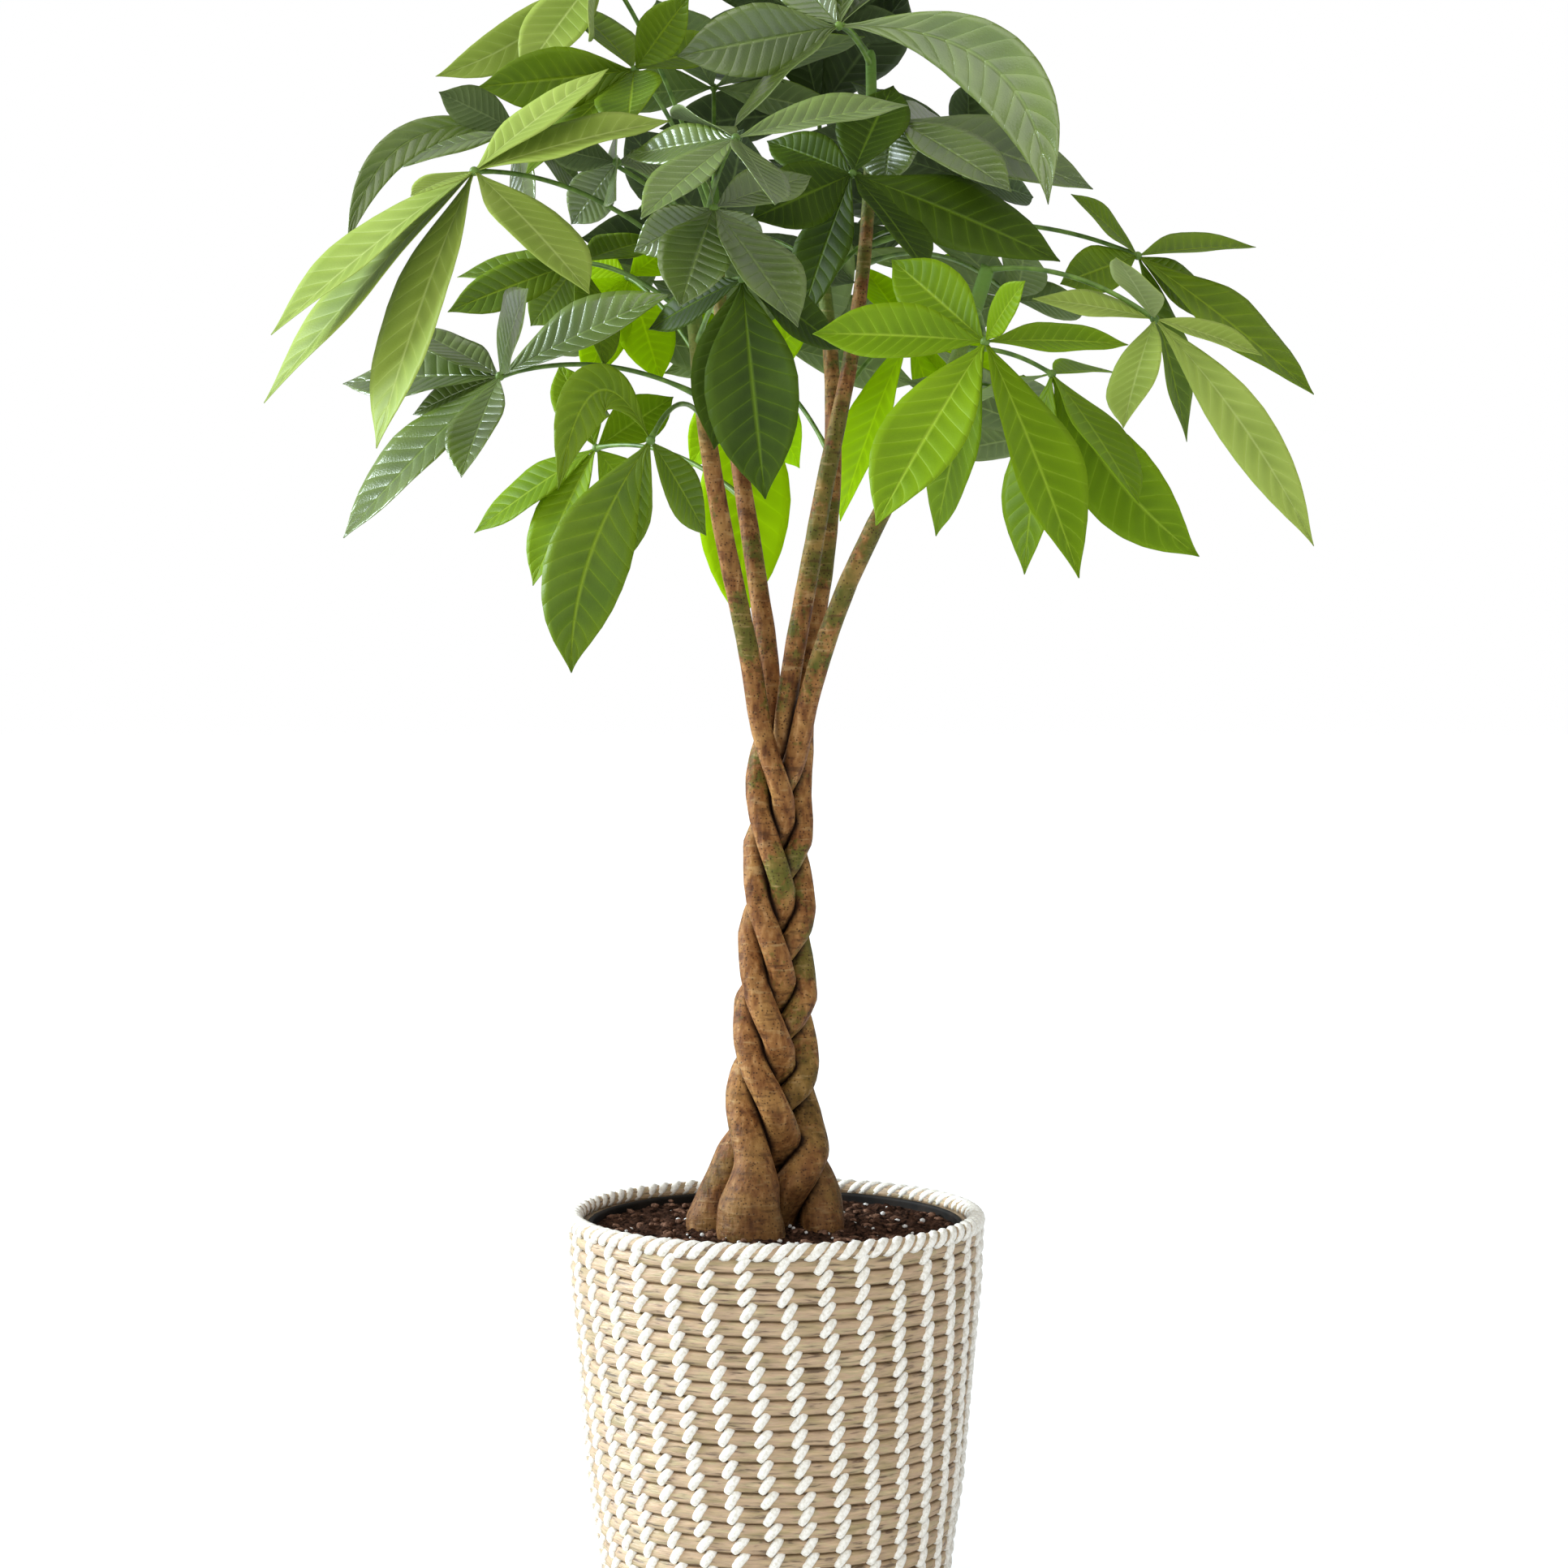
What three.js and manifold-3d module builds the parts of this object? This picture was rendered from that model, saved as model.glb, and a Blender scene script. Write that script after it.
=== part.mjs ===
// A potted money tree: five young stems plaited into one trunk, a crown of hand-shaped leaves,
// and a coiled grass basket sewn with white cord that hides the plain pot the tree grows in.
// Millimetres, +Z up, seen from the front along +Y. The origin is the middle of the basket's foot.
import * as THREE from "three";
import { mergeVertices } from "three/addons/utils/BufferGeometryUtils.js";
import Module from "manifold-3d";

const wasm = await Module();
wasm.setup();

// Driving dimensions
const RIM_TOP = 366;
const RIM_RADIUS = 162;
const RIM_CORD = 8;
const RIM_CORD_SIDES = 6;
const RIM_WRAPS = 40;
const RIM_WRAP_DIP = 0.86;
const BASKET_PROFILE = [
  [0, 128],
  [10, 132.5],
  [110, 144.5],
  [150, 150.8],
  [310, 165.3],
  [350, 166.5],
];
const BASKET_WALL = 9;
const BASKET_FLOOR = 8;
const BASKET_TOP = 349.6;
const BASKET_INSIDE_KNEE = 229;
const BASKET_SIDES = 24;
const COILS = 29;
const COIL_PITCH = 12.2;
const COIL_THICKNESS = 13.2;
const COIL_GROOVE = 3;
const STITCH_COLUMNS = 34;
const STITCH_START = THREE.MathUtils.degToRad(-3);
const STITCH_LEAN = THREE.MathUtils.degToRad(13);
const STITCH_WIDTH = 8;
const STITCH_RAISE = 3.2;
const STITCH_CLEAR = 0.5;
const STITCH_HEIGHTS = [12, 110, 150, 310, 357];
const GROW_POT_TOP = 356;
const GROW_POT_RADII = [122, 152];
const GROW_POT_WALL = 2.5;
const SOIL_TOP = 349;
const SOIL_SLACK = 0.6;
const SOIL_RINGS = [0.97, 0.55];
const SOIL_EDGE_DROP = 3;
const SOIL_HEAP = 2;
const GAP = 0.35;
const WELDS = [0.05, 0.02, 0.008, 0.003];

// The front view that the crown is laid out in: picture units of a fixed size at the trunk,
// seen level from an eye a little right of the trunk and above the rim.
const EYE = new THREE.Vector3(7.2, -2500, 709);
const PICTURE_MIDDLE = 966;
const UNIT = 0.654;

const COLOURS = {
  grass: 0xc9ab82,
  cord: 0xece4d2,
  growPot: 0x1d1c1b,
  soil: 0x2a1c14,
  bark: 0x8a6540,
  leaf: 0x4f8a1e,
};

// Point in the part's frame of a spot in the front view, at a depth behind the trunk.
function seen([across, down, depth]) {
  const spread = UNIT * (1 + depth / -EYE.y);
  const x = EYE.x + (across - PICTURE_MIDDLE) * spread;
  return new THREE.Vector3(x, depth, EYE.z + (PICTURE_MIDDLE - down) * spread);
}

function solid(geometry) {
  const bare = geometry.clone();
  for (const name of Object.keys(bare.attributes)) {
    if (name !== "position") bare.deleteAttribute(name);
  }
  const merged = mergeVertices(bare, 1e-4);
  return new wasm.Manifold(
    new wasm.Mesh({
      numProp: 3,
      vertProperties: merged.attributes.position.array,
      triVerts: new Uint32Array(merged.index.array),
    }),
  );
}

// The body's skin, its hair-thin triangles closed up as far as it stays one closed skin.
function geometryOf(body) {
  const mesh = body.getMesh();
  const geometry = new THREE.BufferGeometry();
  geometry.setAttribute("position", new THREE.BufferAttribute(mesh.vertProperties, 3));
  const tries = WELDS.map((reach) => welded(mesh, reach));
  const triangles = tries.find(isClosed) ?? Array.from(mesh.triVerts);
  return geometry.setIndex(triangles);
}

function welded({ vertProperties, triVerts }, reach) {
  const points = Array.from({ length: vertProperties.length / 3 }, (_, i) =>
    new THREE.Vector3().fromArray(vertProperties, i * 3),
  );
  const first = points.map((p) => points.findIndex((q) => p.distanceToSquared(q) <= reach * reach));
  const triangles = [];
  for (let i = 0; i < triVerts.length; i += 3) {
    const [a, b, c] = [0, 1, 2].map((n) => first[triVerts[i + n]]);
    if (a !== b && b !== c && c !== a) triangles.push(a, b, c);
  }
  return triangles;
}

function isClosed(triangles) {
  const edges = new Set();
  for (let i = 0; i < triangles.length; i += 3) {
    for (let n = 0; n < 3; n += 1) {
      const edge = `${triangles[i + n]} ${triangles[i + ((n + 1) % 3)]}`;
      if (edges.has(edge)) return false;
      edges.add(edge);
    }
  }
  return [...edges].every((edge) => edges.has(edge.split(" ").reverse().join(" ")));
}

// Value at a height from a list of [height, value] rows.
function along(rows, height) {
  const last = rows.length - 1;
  if (height <= rows[0][0]) return rows[0][1];
  if (height >= rows[last][0]) return rows[last][1];
  const next = rows.findIndex(([h]) => h > height);
  const [h0, v0] = rows[next - 1];
  const [h1, v1] = rows[next];
  return v0 + ((v1 - v0) * (height - h0)) / (h1 - h0);
}

// A closed tube through centre points, each with its own radius: a capped cylinder bent to them.
function taperedTube(centres, radii, sides) {
  const steps = centres.length - 1;
  const tube = new THREE.CylinderGeometry(1, 1, steps, sides, steps);
  const places = tube.attributes.position;
  const carried = new THREE.Vector3();
  const frames = centres.map((centre, i) => {
    const ahead = centres[Math.min(i + 1, steps)].clone().sub(centres[Math.max(i - 1, 0)]).normalize();
    if (i === 0) carried.set(0, 1, 0).cross(ahead);
    if (carried.length() < 0.3) carried.set(1, 0, 0);
    carried.addScaledVector(ahead, -carried.dot(ahead)).normalize();
    return { centre, side: carried.clone(), up: ahead.clone().cross(carried) };
  });
  for (let i = 0; i < places.count; i += 1) {
    const ring = Math.round(places.getY(i) + steps / 2);
    const { centre, side, up } = frames[ring];
    const place = centre.clone();
    place.addScaledVector(side, -places.getX(i) * radii[ring]);
    place.addScaledVector(up, places.getZ(i) * radii[ring]);
    places.setXYZ(i, place.x, place.y, place.z);
  }
  return solid(tube);
}

// Basket: coils of grass as ridges on a lathed wall with a flat floor.
function basketBody() {
  const profile = [new THREE.Vector2(0, 0), new THREE.Vector2(BASKET_PROFILE[0][1], 0)];
  for (let i = 0; i < COILS; i += 1) {
    const crest = COIL_THICKNESS / 2 + i * COIL_PITCH;
    const valley = Math.min(crest + COIL_PITCH / 2, BASKET_TOP);
    profile.push(new THREE.Vector2(along(BASKET_PROFILE, crest), crest));
    profile.push(new THREE.Vector2(along(BASKET_PROFILE, valley) - COIL_GROOVE, valley));
  }
  const inside = (z) => along(BASKET_PROFILE, z) - BASKET_WALL;
  profile.push(new THREE.Vector2(inside(BASKET_TOP), BASKET_TOP));
  profile.push(new THREE.Vector2(inside(BASKET_INSIDE_KNEE), BASKET_INSIDE_KNEE));
  profile.push(new THREE.Vector2(inside(BASKET_FLOOR), BASKET_FLOOR));
  profile.push(new THREE.Vector2(0, BASKET_FLOOR));
  const wall = new THREE.LatheGeometry(profile, BASKET_SIDES);
  return solid(wall.rotateX(Math.PI / 2));
}

// White cord: the wrapped rim, and a column of sewing down the wall at each stitch.
function basketStitching() {
  const rim = new THREE.TorusGeometry(RIM_RADIUS, RIM_CORD, RIM_CORD_SIDES, RIM_WRAPS);
  const places = rim.attributes.position;
  for (let i = 0; i < places.count; i += 1) {
    const turn = Math.atan2(places.getY(i), places.getX(i));
    const middle = new THREE.Vector3(Math.cos(turn), Math.sin(turn), 0).multiplyScalar(RIM_RADIUS);
    const place = new THREE.Vector3().fromBufferAttribute(places, i).sub(middle);
    const wrap = Math.round((turn / (2 * Math.PI)) * RIM_WRAPS);
    place.multiplyScalar(wrap % 2 === 0 ? 1 : RIM_WRAP_DIP).add(middle);
    places.setXYZ(i, place.x, place.y, place.z);
  }
  let cord = solid(rim.translate(0, 0, RIM_TOP - RIM_CORD));
  for (let column = 0; column < STITCH_COLUMNS; column += 1) {
    const corners = STITCH_HEIGHTS.map((z) => {
      const lean = STITCH_LEAN * (1 - z / BASKET_TOP);
      const turn = STITCH_START + (column / STITCH_COLUMNS) * 2 * Math.PI + lean;
      const out = new THREE.Vector3(Math.cos(turn), Math.sin(turn), 0);
      const side = new THREE.Vector3(-out.y, out.x, 0);
      const clear = along(BASKET_PROFILE, z) + STITCH_CLEAR;
      const foot = out.clone().multiplyScalar(clear).setZ(z);
      return [
        foot.clone().addScaledVector(side, -STITCH_WIDTH / 2),
        foot.clone().addScaledVector(side, STITCH_WIDTH / 2),
        foot.clone().addScaledVector(out, STITCH_RAISE),
      ];
    });
    cord = cord.add(prism(corners));
  }
  return cord;
}

// A closed three-sided bar through rows of three corners.
function prism(rows) {
  const points = rows.flat().flatMap((p) => [p.x, p.y, p.z]);
  const faces = [0, 1, 2];
  for (let i = 0; i < rows.length - 1; i += 1) {
    for (let j = 0; j < 3; j += 1) {
      const a = i * 3 + j;
      const b = i * 3 + ((j + 1) % 3);
      faces.push(a, b + 3, b, a, a + 3, b + 3);
    }
  }
  const end = (rows.length - 1) * 3;
  faces.push(end, end + 2, end + 1);
  const geometry = new THREE.BufferGeometry();
  geometry.setAttribute("position", new THREE.Float32BufferAttribute(points, 3));
  geometry.setIndex(faces);
  return solid(geometry);
}

function growPot() {
  const [foot, top] = GROW_POT_RADII;
  const floor = BASKET_FLOOR + GAP;
  const profile = [
    [0, floor],
    [foot, floor],
    [top, GROW_POT_TOP],
    [top - GROW_POT_WALL, GROW_POT_TOP],
    [foot - GROW_POT_WALL, floor + GROW_POT_WALL],
    [0, floor + GROW_POT_WALL],
  ].map(([r, z]) => new THREE.Vector2(r, z));
  return solid(new THREE.LatheGeometry(profile, BASKET_SIDES).rotateX(Math.PI / 2));
}

// Soil: a plug that fills the grow pot, its top gently heaped, with a plain hole for each stem.
function soilPlug(stems) {
  const [foot, top] = GROW_POT_RADII.map((r) => r - GROW_POT_WALL - GAP - SOIL_SLACK);
  const floor = BASKET_FLOOR + GROW_POT_WALL + 2 * GAP;
  const radius = foot + ((top - foot) * (SOIL_TOP - floor)) / (GROW_POT_TOP - floor) - SOIL_SLACK / 2;
  const profile = [new THREE.Vector2(0, floor), new THREE.Vector2(foot, floor)];
  profile.push(new THREE.Vector2(radius, SOIL_TOP - SOIL_EDGE_DROP));
  for (const share of SOIL_RINGS) profile.push(new THREE.Vector2(radius * share, SOIL_TOP));
  profile.push(new THREE.Vector2(0, SOIL_TOP + 1));
  const plug = new THREE.LatheGeometry(profile, BASKET_SIDES).rotateX(Math.PI / 2);
  const places = plug.attributes.position;
  for (let i = 0; i < places.count; i += 1) {
    if (places.getZ(i) < SOIL_TOP - 1) continue;
    const x = places.getX(i);
    const y = places.getY(i);
    places.setZ(i, places.getZ(i) + SOIL_HEAP * Math.sin(x / 17 + 1) * Math.cos(y / 21));
  }
  return stems.reduce((soil, stem) => soil.subtract(stem.fat), solid(plug));
}

// Stems. Each is a strand of the plait from its swollen foot to the fork, then a leader of its own.
// Below the plait a strand's radius is its buried tip's, then a share of its foot's.
const STRAND_RADII = [
  [284, 9],
  [318, 0.78],
  [350, 1],
  [380, 0.84],
];
const STEM_RADII = [
  [410, 15.2],
  [440, 13.2],
  [480, 12],
  [540, 11],
  [620, 9.8],
  [700, 8.8],
  [820, 8.8],
  [900, 8.2],
  [1000, 7.2],
  [1150, 5.6],
  [1320, 4.2],
];
const PLAIT_FOOT = 410;
const PLAIT_HEAD = 752;
const PLAIT_HALF_WIDTHS = [
  [410, 14.4],
  [490, 11.5],
  [556, 9.8],
  [621, 7.6],
  [686, 5.5],
  [760, 5],
];
const PLAIT_HALF_DEPTHS = [
  [410, 17],
  [490, 15],
  [621, 13],
  [760, 10],
];
const PLAIT_LEAN = 5.5;
const PLAIT_TURN = THREE.MathUtils.degToRad(1.08);
const PLAIT_FACING = THREE.MathUtils.degToRad(45);
const FACING_STARTS = [SOIL_TOP + 10, PLAIT_FOOT + 20];
const FACING_ENDS = [PLAIT_HEAD - 70, PLAIT_HEAD + 20];
const PLAIT_TIP_HEIGHT = 645;
const PLAIT_TIP_PHASE = THREE.MathUtils.degToRad(105);
const STRANDS = 5;
const LEVEL = 6;
const LEVELS_APART = 3;
const LEVELS_APART_ABOVE = 7;
const STEM_SIDES = 6;
const PUSH_ACROSS = 0.03;
const PUSH_DEEP = 0.08;
const PRESS_REACH = 6;
const PRESS_PASSES = 220;
const LAST_PASSES = 12;
const PRESS_EASE = 0.28;

// Foot radius and place, then the leader's points above the fork as [across, down, depth].
const STEMS = [
  {
    name: "stem_front_left",
    foot: [-10, -38],
    footRadius: 29,
    leader: [
      [919, 780, -14],
      [897, 690, -26],
      [880, 600, -38],
      [868, 520, -50],
      [858, 430, -64],
      [850, 315, -76],
    ],
  },
  {
    name: "stem_back_left",
    foot: [-52, 8],
    footRadius: 24,
    leader: [
      [945, 790, 14],
      [930, 700, 28],
      [918, 610, 42],
      [900, 520, 58],
      [888, 400, 78],
      [878, 230, 96],
    ],
  },
  {
    name: "stem_front_right",
    foot: [-18, 42],
    footRadius: 21,
    leader: [
      [1014, 790, -18],
      [1032, 735, -24],
      [1058, 680, -34],
      [1084, 625, -46],
      [1130, 555, -66],
      [1185, 440, -92],
      [1218, 320, -100],
    ],
  },
  {
    name: "stem_back_right",
    foot: [39, -6],
    footRadius: 19,
    leader: [
      [1003, 780, 20],
      [1016, 715, 36],
      [1024, 640, 58],
      [1030, 540, 88],
      [1022, 400, 122],
      [1000, 250, 150],
    ],
  },
  {
    name: "stem_middle",
    foot: [23, 33],
    footRadius: 19,
    leader: [
      [983, 780, -4],
      [998, 700, -12],
      [1010, 620, -18],
      [1030, 530, -18],
      [1052, 440, -14],
      [1068, 300, -8],
      [1076, 150, 0],
      [1072, 62, 4],
    ],
  },
];

// Strand centres at each level: over two and under two, turning as the phase runs down the plait.
function plaitedCentres() {
  const lowest = STRAND_RADII[0][0];
  return STEMS.map(({ foot, leader }, strand) => {
    const crown = leader.map(seen);
    const top = crown[crown.length - 1].z;
    const rise = crown.map((p) => [p.z, p]);
    const centres = [];
    for (let z = lowest; z <= top; z += LEVEL) {
      const phase =
        PLAIT_TIP_PHASE + (PLAIT_TIP_HEIGHT - z) * PLAIT_TURN - (strand * 2 * Math.PI) / STRANDS;
      const lean = PLAIT_LEAN * THREE.MathUtils.smoothstep(z, PLAIT_FOOT, PLAIT_HEAD);
      const plait = [
        lean - along(PLAIT_HALF_WIDTHS, z) * Math.cos(phase),
        -along(PLAIT_HALF_DEPTHS, z) * Math.sin(2 * phase),
      ];
      const down = THREE.MathUtils.smoothstep(z, SOIL_TOP, PLAIT_FOOT);
      const up = THREE.MathUtils.smoothstep(z, PLAIT_HEAD - 20, crown[0].z + 4);
      const free = leaderAt(rise, z);
      const x = THREE.MathUtils.lerp(THREE.MathUtils.lerp(foot[0], plait[0], down), free.x, up);
      const y = THREE.MathUtils.lerp(THREE.MathUtils.lerp(foot[1], plait[1], down), free.y, up);
      centres.push(new THREE.Vector3(x, y, z));
    }
    return centres;
  });
}

function leaderAt(rise, z) {
  const xs = rise.map(([h, p]) => [h, p.x]);
  const ys = rise.map(([h, p]) => [h, p.y]);
  return { x: along(xs, z), y: along(ys, z) };
}

function stemRadius(strand, z) {
  if (z >= PLAIT_FOOT) return along(STEM_RADII, z);
  const foot = STEMS[strand].footRadius;
  const rows = STRAND_RADII.map(([h, share]) => [h, share > 1 ? share : share * foot]);
  return along([...rows, [PLAIT_FOOT, STEM_RADII[0][1]]], z);
}

// Pushes strands apart, more in depth than across, until they only press on one another.
function pressTogether(strands) {
  for (let pass = 0; pass < PRESS_PASSES; pass += 1) {
    for (let i = 0; i < STRANDS; i += 1) {
      for (let j = i + 1; j < STRANDS; j += 1) {
        strands[i].forEach((p, k) => {
          const nearest = Math.max(0, k - PRESS_REACH);
          const furthest = Math.min(strands[j].length - 1, k + PRESS_REACH);
          for (let m = nearest; m <= furthest; m += 1) {
            const q = strands[j][m];
            const away = p.clone().sub(q);
            const need = stemRadius(i, p.z) + stemRadius(j, q.z) + 2 * GAP - away.length();
            if (need <= 0) continue;
            away.setZ(0).normalize();
            const push = new THREE.Vector3(away.x * PUSH_ACROSS, away.y * PUSH_DEEP, 0);
            push.multiplyScalar(need);
            p.add(push);
            q.sub(push);
          }
        });
      }
    }
    const last = pass > PRESS_PASSES - LAST_PASSES;
    for (const strand of strands) smoothOnce(strand, last ? PRESS_EASE / 5 : PRESS_EASE);
  }
  return strands;
}

// Turns the plait to the right of the front, but not its feet or its leaders.
function turnPlait(strands) {
  const axis = new THREE.Vector3(0, 0, 1);
  for (const p of strands.flat()) {
    const below = THREE.MathUtils.smoothstep(p.z, ...FACING_STARTS);
    const above = THREE.MathUtils.smoothstep(p.z, ...FACING_ENDS);
    p.applyAxisAngle(axis, PLAIT_FACING * below * (1 - above));
  }
  return strands;
}

function smoothOnce(centres, share) {
  const before = centres.map((p) => p.clone());
  for (let k = 1; k < centres.length - 1; k += 1) {
    const middle = before[k - 1].clone().add(before[k + 1]).multiplyScalar(0.5);
    centres[k].x = THREE.MathUtils.lerp(centres[k].x, middle.x, share);
    centres[k].y = THREE.MathUtils.lerp(centres[k].y, middle.y, share);
  }
}

function growStems() {
  const strands = turnPlait(pressTogether(plaitedCentres()));
  const grownStems = [];
  STEMS.forEach(({ name }, strand) => {
    const all = strands[strand];
    const picked = all.filter((p, k) => {
      const step = p.z < PLAIT_HEAD + 60 ? LEVELS_APART : LEVELS_APART_ABOVE;
      return k % step === 0 || k === all.length - 1;
    });
    const radii = picked.map((p) => stemRadius(strand, p.z));
    const fat = taperedTube(picked, radii.map((r) => r + GAP), STEM_SIDES);
    // Where a stem presses on one before it, it is flattened to leave the gap.
    const body = grownStems.reduce(
      (pressed, other) => pressed.subtract(other.fat),
      taperedTube(picked, radii, STEM_SIDES),
    );
    grownStems.push({ name, centres: all, body, fat });
  });
  return grownStems;
}

// Leaves. A petiole rises from its stem to a hub, and leaflets spread from the hub like fingers.
const PETIOLE_RADII = [2.7, 2.1, 1.8, 2.1];
const PETIOLE_SIDES = 4;
const PETIOLE_SWAYS = [0, 0.1, -0.1, 0.2, -0.2, 0.3, -0.3, 0.45, -0.45];
const PETIOLE_RISES = [0.18, 0.24, 0.3, 0.12, 0.06, 0.42, -0.08];
const HUB_RADIUS = 6;
const MEETING_RADIUS = 26;
const BLADE_THICKNESS = 1.5;
const BLADE_ROOT_AT = 3;
const BLADE_ROOT_HALF = 0.9;
const BLADE_STATIONS = [
  [0.48, 1],
  [0.82, 0.72],
];
const BLADE_KEEL = 0.16;
const BLADE_ARCH = 0.02;
const BLADE_SLIMNESS = 0.4;
const BLADE_WIDTHS = [24, 82];
const CLEAR = 0.5;
const SWINGS = [0, 12, -12, 24, -24, 36, -36, 50, -50, 66, -66, 84, -84, 104, -104, 126, -126];
const TWISTS = [0, 0.35, -0.35, 0.7, -0.7];

// Leaves that the front view shows. Each has its stem, the height down the picture where it leaves
// the stem, its hub [across, down, depth], and its leaflets [across, down, depth past the hub,
// width seen, bow across, bow down]. A leaflet with a negative width shows its underside.
const SEEN_LEAVES = [
  {
    name: "leaf_light_upper_left",
    colour: 0x86b83a,
    stem: 0,
    from: 330,
    hub: [586, 205, -200],
    leaflets: [
      [336, 404, -20, 45],
      [327, 489, 10, 42],
      [465, 542, -40, 76],
      [727, 350, -90, 85],
      [827, 145, 30, 45],
      [751, 83, 60, 45],
      [508, 232, -60, 30],
    ],
  },
  {
    name: "leaf_top_left",
    colour: 0x4f8a26,
    stem: 1,
    from: 250,
    hub: [745, -35, -20],
    leaflets: [
      [539, 96, -40, 60, 650, 46],
      [644, 96, -60, 60],
      [728, 42, -110, -60],
      [880, -110, 50, 60],
      [760, -120, 110, 70],
      [640, -90, 60, 60],
    ],
  },
  {
    name: "leaf_upper_left",
    colour: 0x3f7a24,
    stem: 1,
    from: 270,
    hub: [783, 88, -60],
    leaflets: [
      [592, 107, -30, 70],
      [648, 216, -50, 65],
      [850, -5, -60, 60],
      [775, 150, -120, 90],
      [905, 60, 80, 60],
      [700, 10, 90, 60],
    ],
  },
  {
    name: "leaf_crown",
    colour: 0x3c6f2a,
    stem: 4,
    from: 80,
    hub: [1033, 35, -50],
    leaflets: [
      [835, 70, -40, 90],
      [905, 155, -70, 60],
      [1290, 250, -60, 92, 1222, 84],
      [1065, -100, 60, 70],
      [950, -60, 40, 70],
      [1150, -70, 90, 60],
    ],
  },
  {
    name: "leaf_glossy_centre",
    colour: 0x4c8030,
    stem: 0,
    from: 372,
    hub: [907, 162, -250],
    leaflets: [
      [955, 238, -100, 70],
      [790, 258, -60, 60],
      [773, 188, 60, 50],
      [827, 142, 90, 35],
      [1118, 123, 20, 40],
    ],
  },
  {
    name: "leaf_small_left",
    colour: 0x5c962f,
    stem: 1,
    from: 330,
    hub: [761, 197, -130],
    leaflets: [
      [761, 160, 80, 40],
      [840, 205, 50, 40],
      [760, 240, -80, 45],
      [705, 275, 40, 60],
      [672, 178, -20, -45],
    ],
  },
  {
    name: "leaf_centre",
    colour: 0x356a22,
    stem: 0,
    from: 400,
    hub: [880, 250, -190],
    leaflets: [
      [838, 368, -60, 95],
      [983, 393, -30, 105],
      [782, 305, 20, 60],
      [935, 320, 60, 60],
      [1000, 215, 70, 60],
      [850, 150, 90, 60],
    ],
  },
  {
    name: "leaf_front_of_fork",
    colour: 0x3a6e20,
    stem: 0,
    from: 440,
    hub: [915, 335, -230],
    leaflets: [
      [943, 602, -50, 120],
      [880, 545, 20, 85],
      [1035, 425, 70, 60],
      [800, 400, 60, 50],
    ],
  },
  {
    name: "leaf_left",
    colour: 0x4b8427,
    stem: 0,
    from: 497,
    hub: [617, 458, -150],
    leaflets: [
      [424, 655, -30, 60],
      [652, 345, -110, 60],
      [827, 357, -20, 60],
      [569, 578, -80, 70],
      [510, 507, 40, 45],
      [424, 471, 90, 26],
      [500, 400, 60, 50],
    ],
  },
  {
    name: "leaf_lower_left",
    colour: 0x3f7821,
    stem: 0,
    from: 530,
    hub: [802, 530, -280],
    leaflets: [
      [704, 814, -30, 106, 727, 672],
      [688, 590, -20, 70, 735, 470],
      [745, 700, 40, 70],
      [870, 650, 60, 55],
    ],
  },
  {
    name: "leaf_bright_left",
    colour: 0x8ec63a,
    stem: 1,
    from: 620,
    hub: [735, 560, 180],
    leaflets: [
      [585, 665, 20, 45],
      [657, 728, -30, 60],
      [800, 650, 60, 60],
      [690, 460, 60, 60],
      [830, 500, 70, 60],
    ],
  },
  {
    name: "leaf_behind_fork",
    colour: 0x86bf36,
    stem: 3,
    from: 560,
    hub: [925, 470, 250],
    leaflets: [
      [912, 780, -10, 115],
      [985, 590, 80, 60],
      [850, 590, 70, 60],
      [850, 400, 60, 60],
      [1000, 400, 70, 60],
    ],
  },
  {
    name: "leaf_light_lower_right",
    colour: 0x7fb438,
    stem: 2,
    from: 420,
    hub: [1213, 408, -300],
    leaflets: [
      [1079, 630, -60, 110],
      [1329, 697, -20, 90],
      [1389, 413, 20, 40],
      [1262, 330, -60, 45],
      [1098, 311, 60, 80],
      [1001, 400, 30, 75],
      [1153, 650, 70, 75],
    ],
  },
  {
    name: "leaf_bright_right",
    colour: 0x8cc23c,
    stem: 3,
    from: 500,
    hub: [1120, 420, 200],
    leaflets: [
      [1035, 650, -20, 60],
      [1170, 600, 40, 60],
      [1240, 480, 40, 60],
      [1060, 340, 90, 60],
      [1180, 320, 60, 60],
    ],
  },
  {
    name: "leaf_light_right",
    colour: 0x88b94a,
    stem: 2,
    from: 335,
    hub: [1421, 388, -150],
    leaflets: [
      [1383, 518, -70, 70],
      [1618, 665, -30, 66, 1528, 515],
      [1553, 432, -10, 28],
      [1373, 308, -90, -60],
      [1271, 364, 20, 32],
    ],
  },
  {
    name: "leaf_right",
    colour: 0x5a9430,
    stem: 4,
    from: 300,
    hub: [1400, 320, 60],
    leaflets: [
      [1617, 489, -20, 60],
      [1545, 312, 60, 32],
      [1318, 243, -40, 26],
      [1500, 400, 60, 50],
      [1305, 352, -60, 62],
      [1461, 549, 30, 40],
    ],
  },
  {
    name: "leaf_lower_right",
    colour: 0x3c7423,
    stem: 2,
    from: 450,
    hub: [1295, 460, -50],
    leaflets: [
      [1262, 705, -20, 75],
      [1477, 683, -20, 100, 1374, 586],
      [1402, 615, -90, 60],
      [1380, 465, 110, 26],
      [1200, 500, 90, 40],
    ],
  },
  {
    name: "leaf_dark_right",
    colour: 0x3a6a2a,
    stem: 4,
    from: 240,
    hub: [1050, 215, -60],
    leaflets: [
      [1305, 320, -40, 90],
      [986, 397, -20, 70],
      [925, 268, -60, 85],
      [1140, 330, -90, 60],
      [1100, 110, 110, 50],
      [945, 178, 70, 60],
    ],
  },
  {
    name: "leaf_upper_right",
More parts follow.
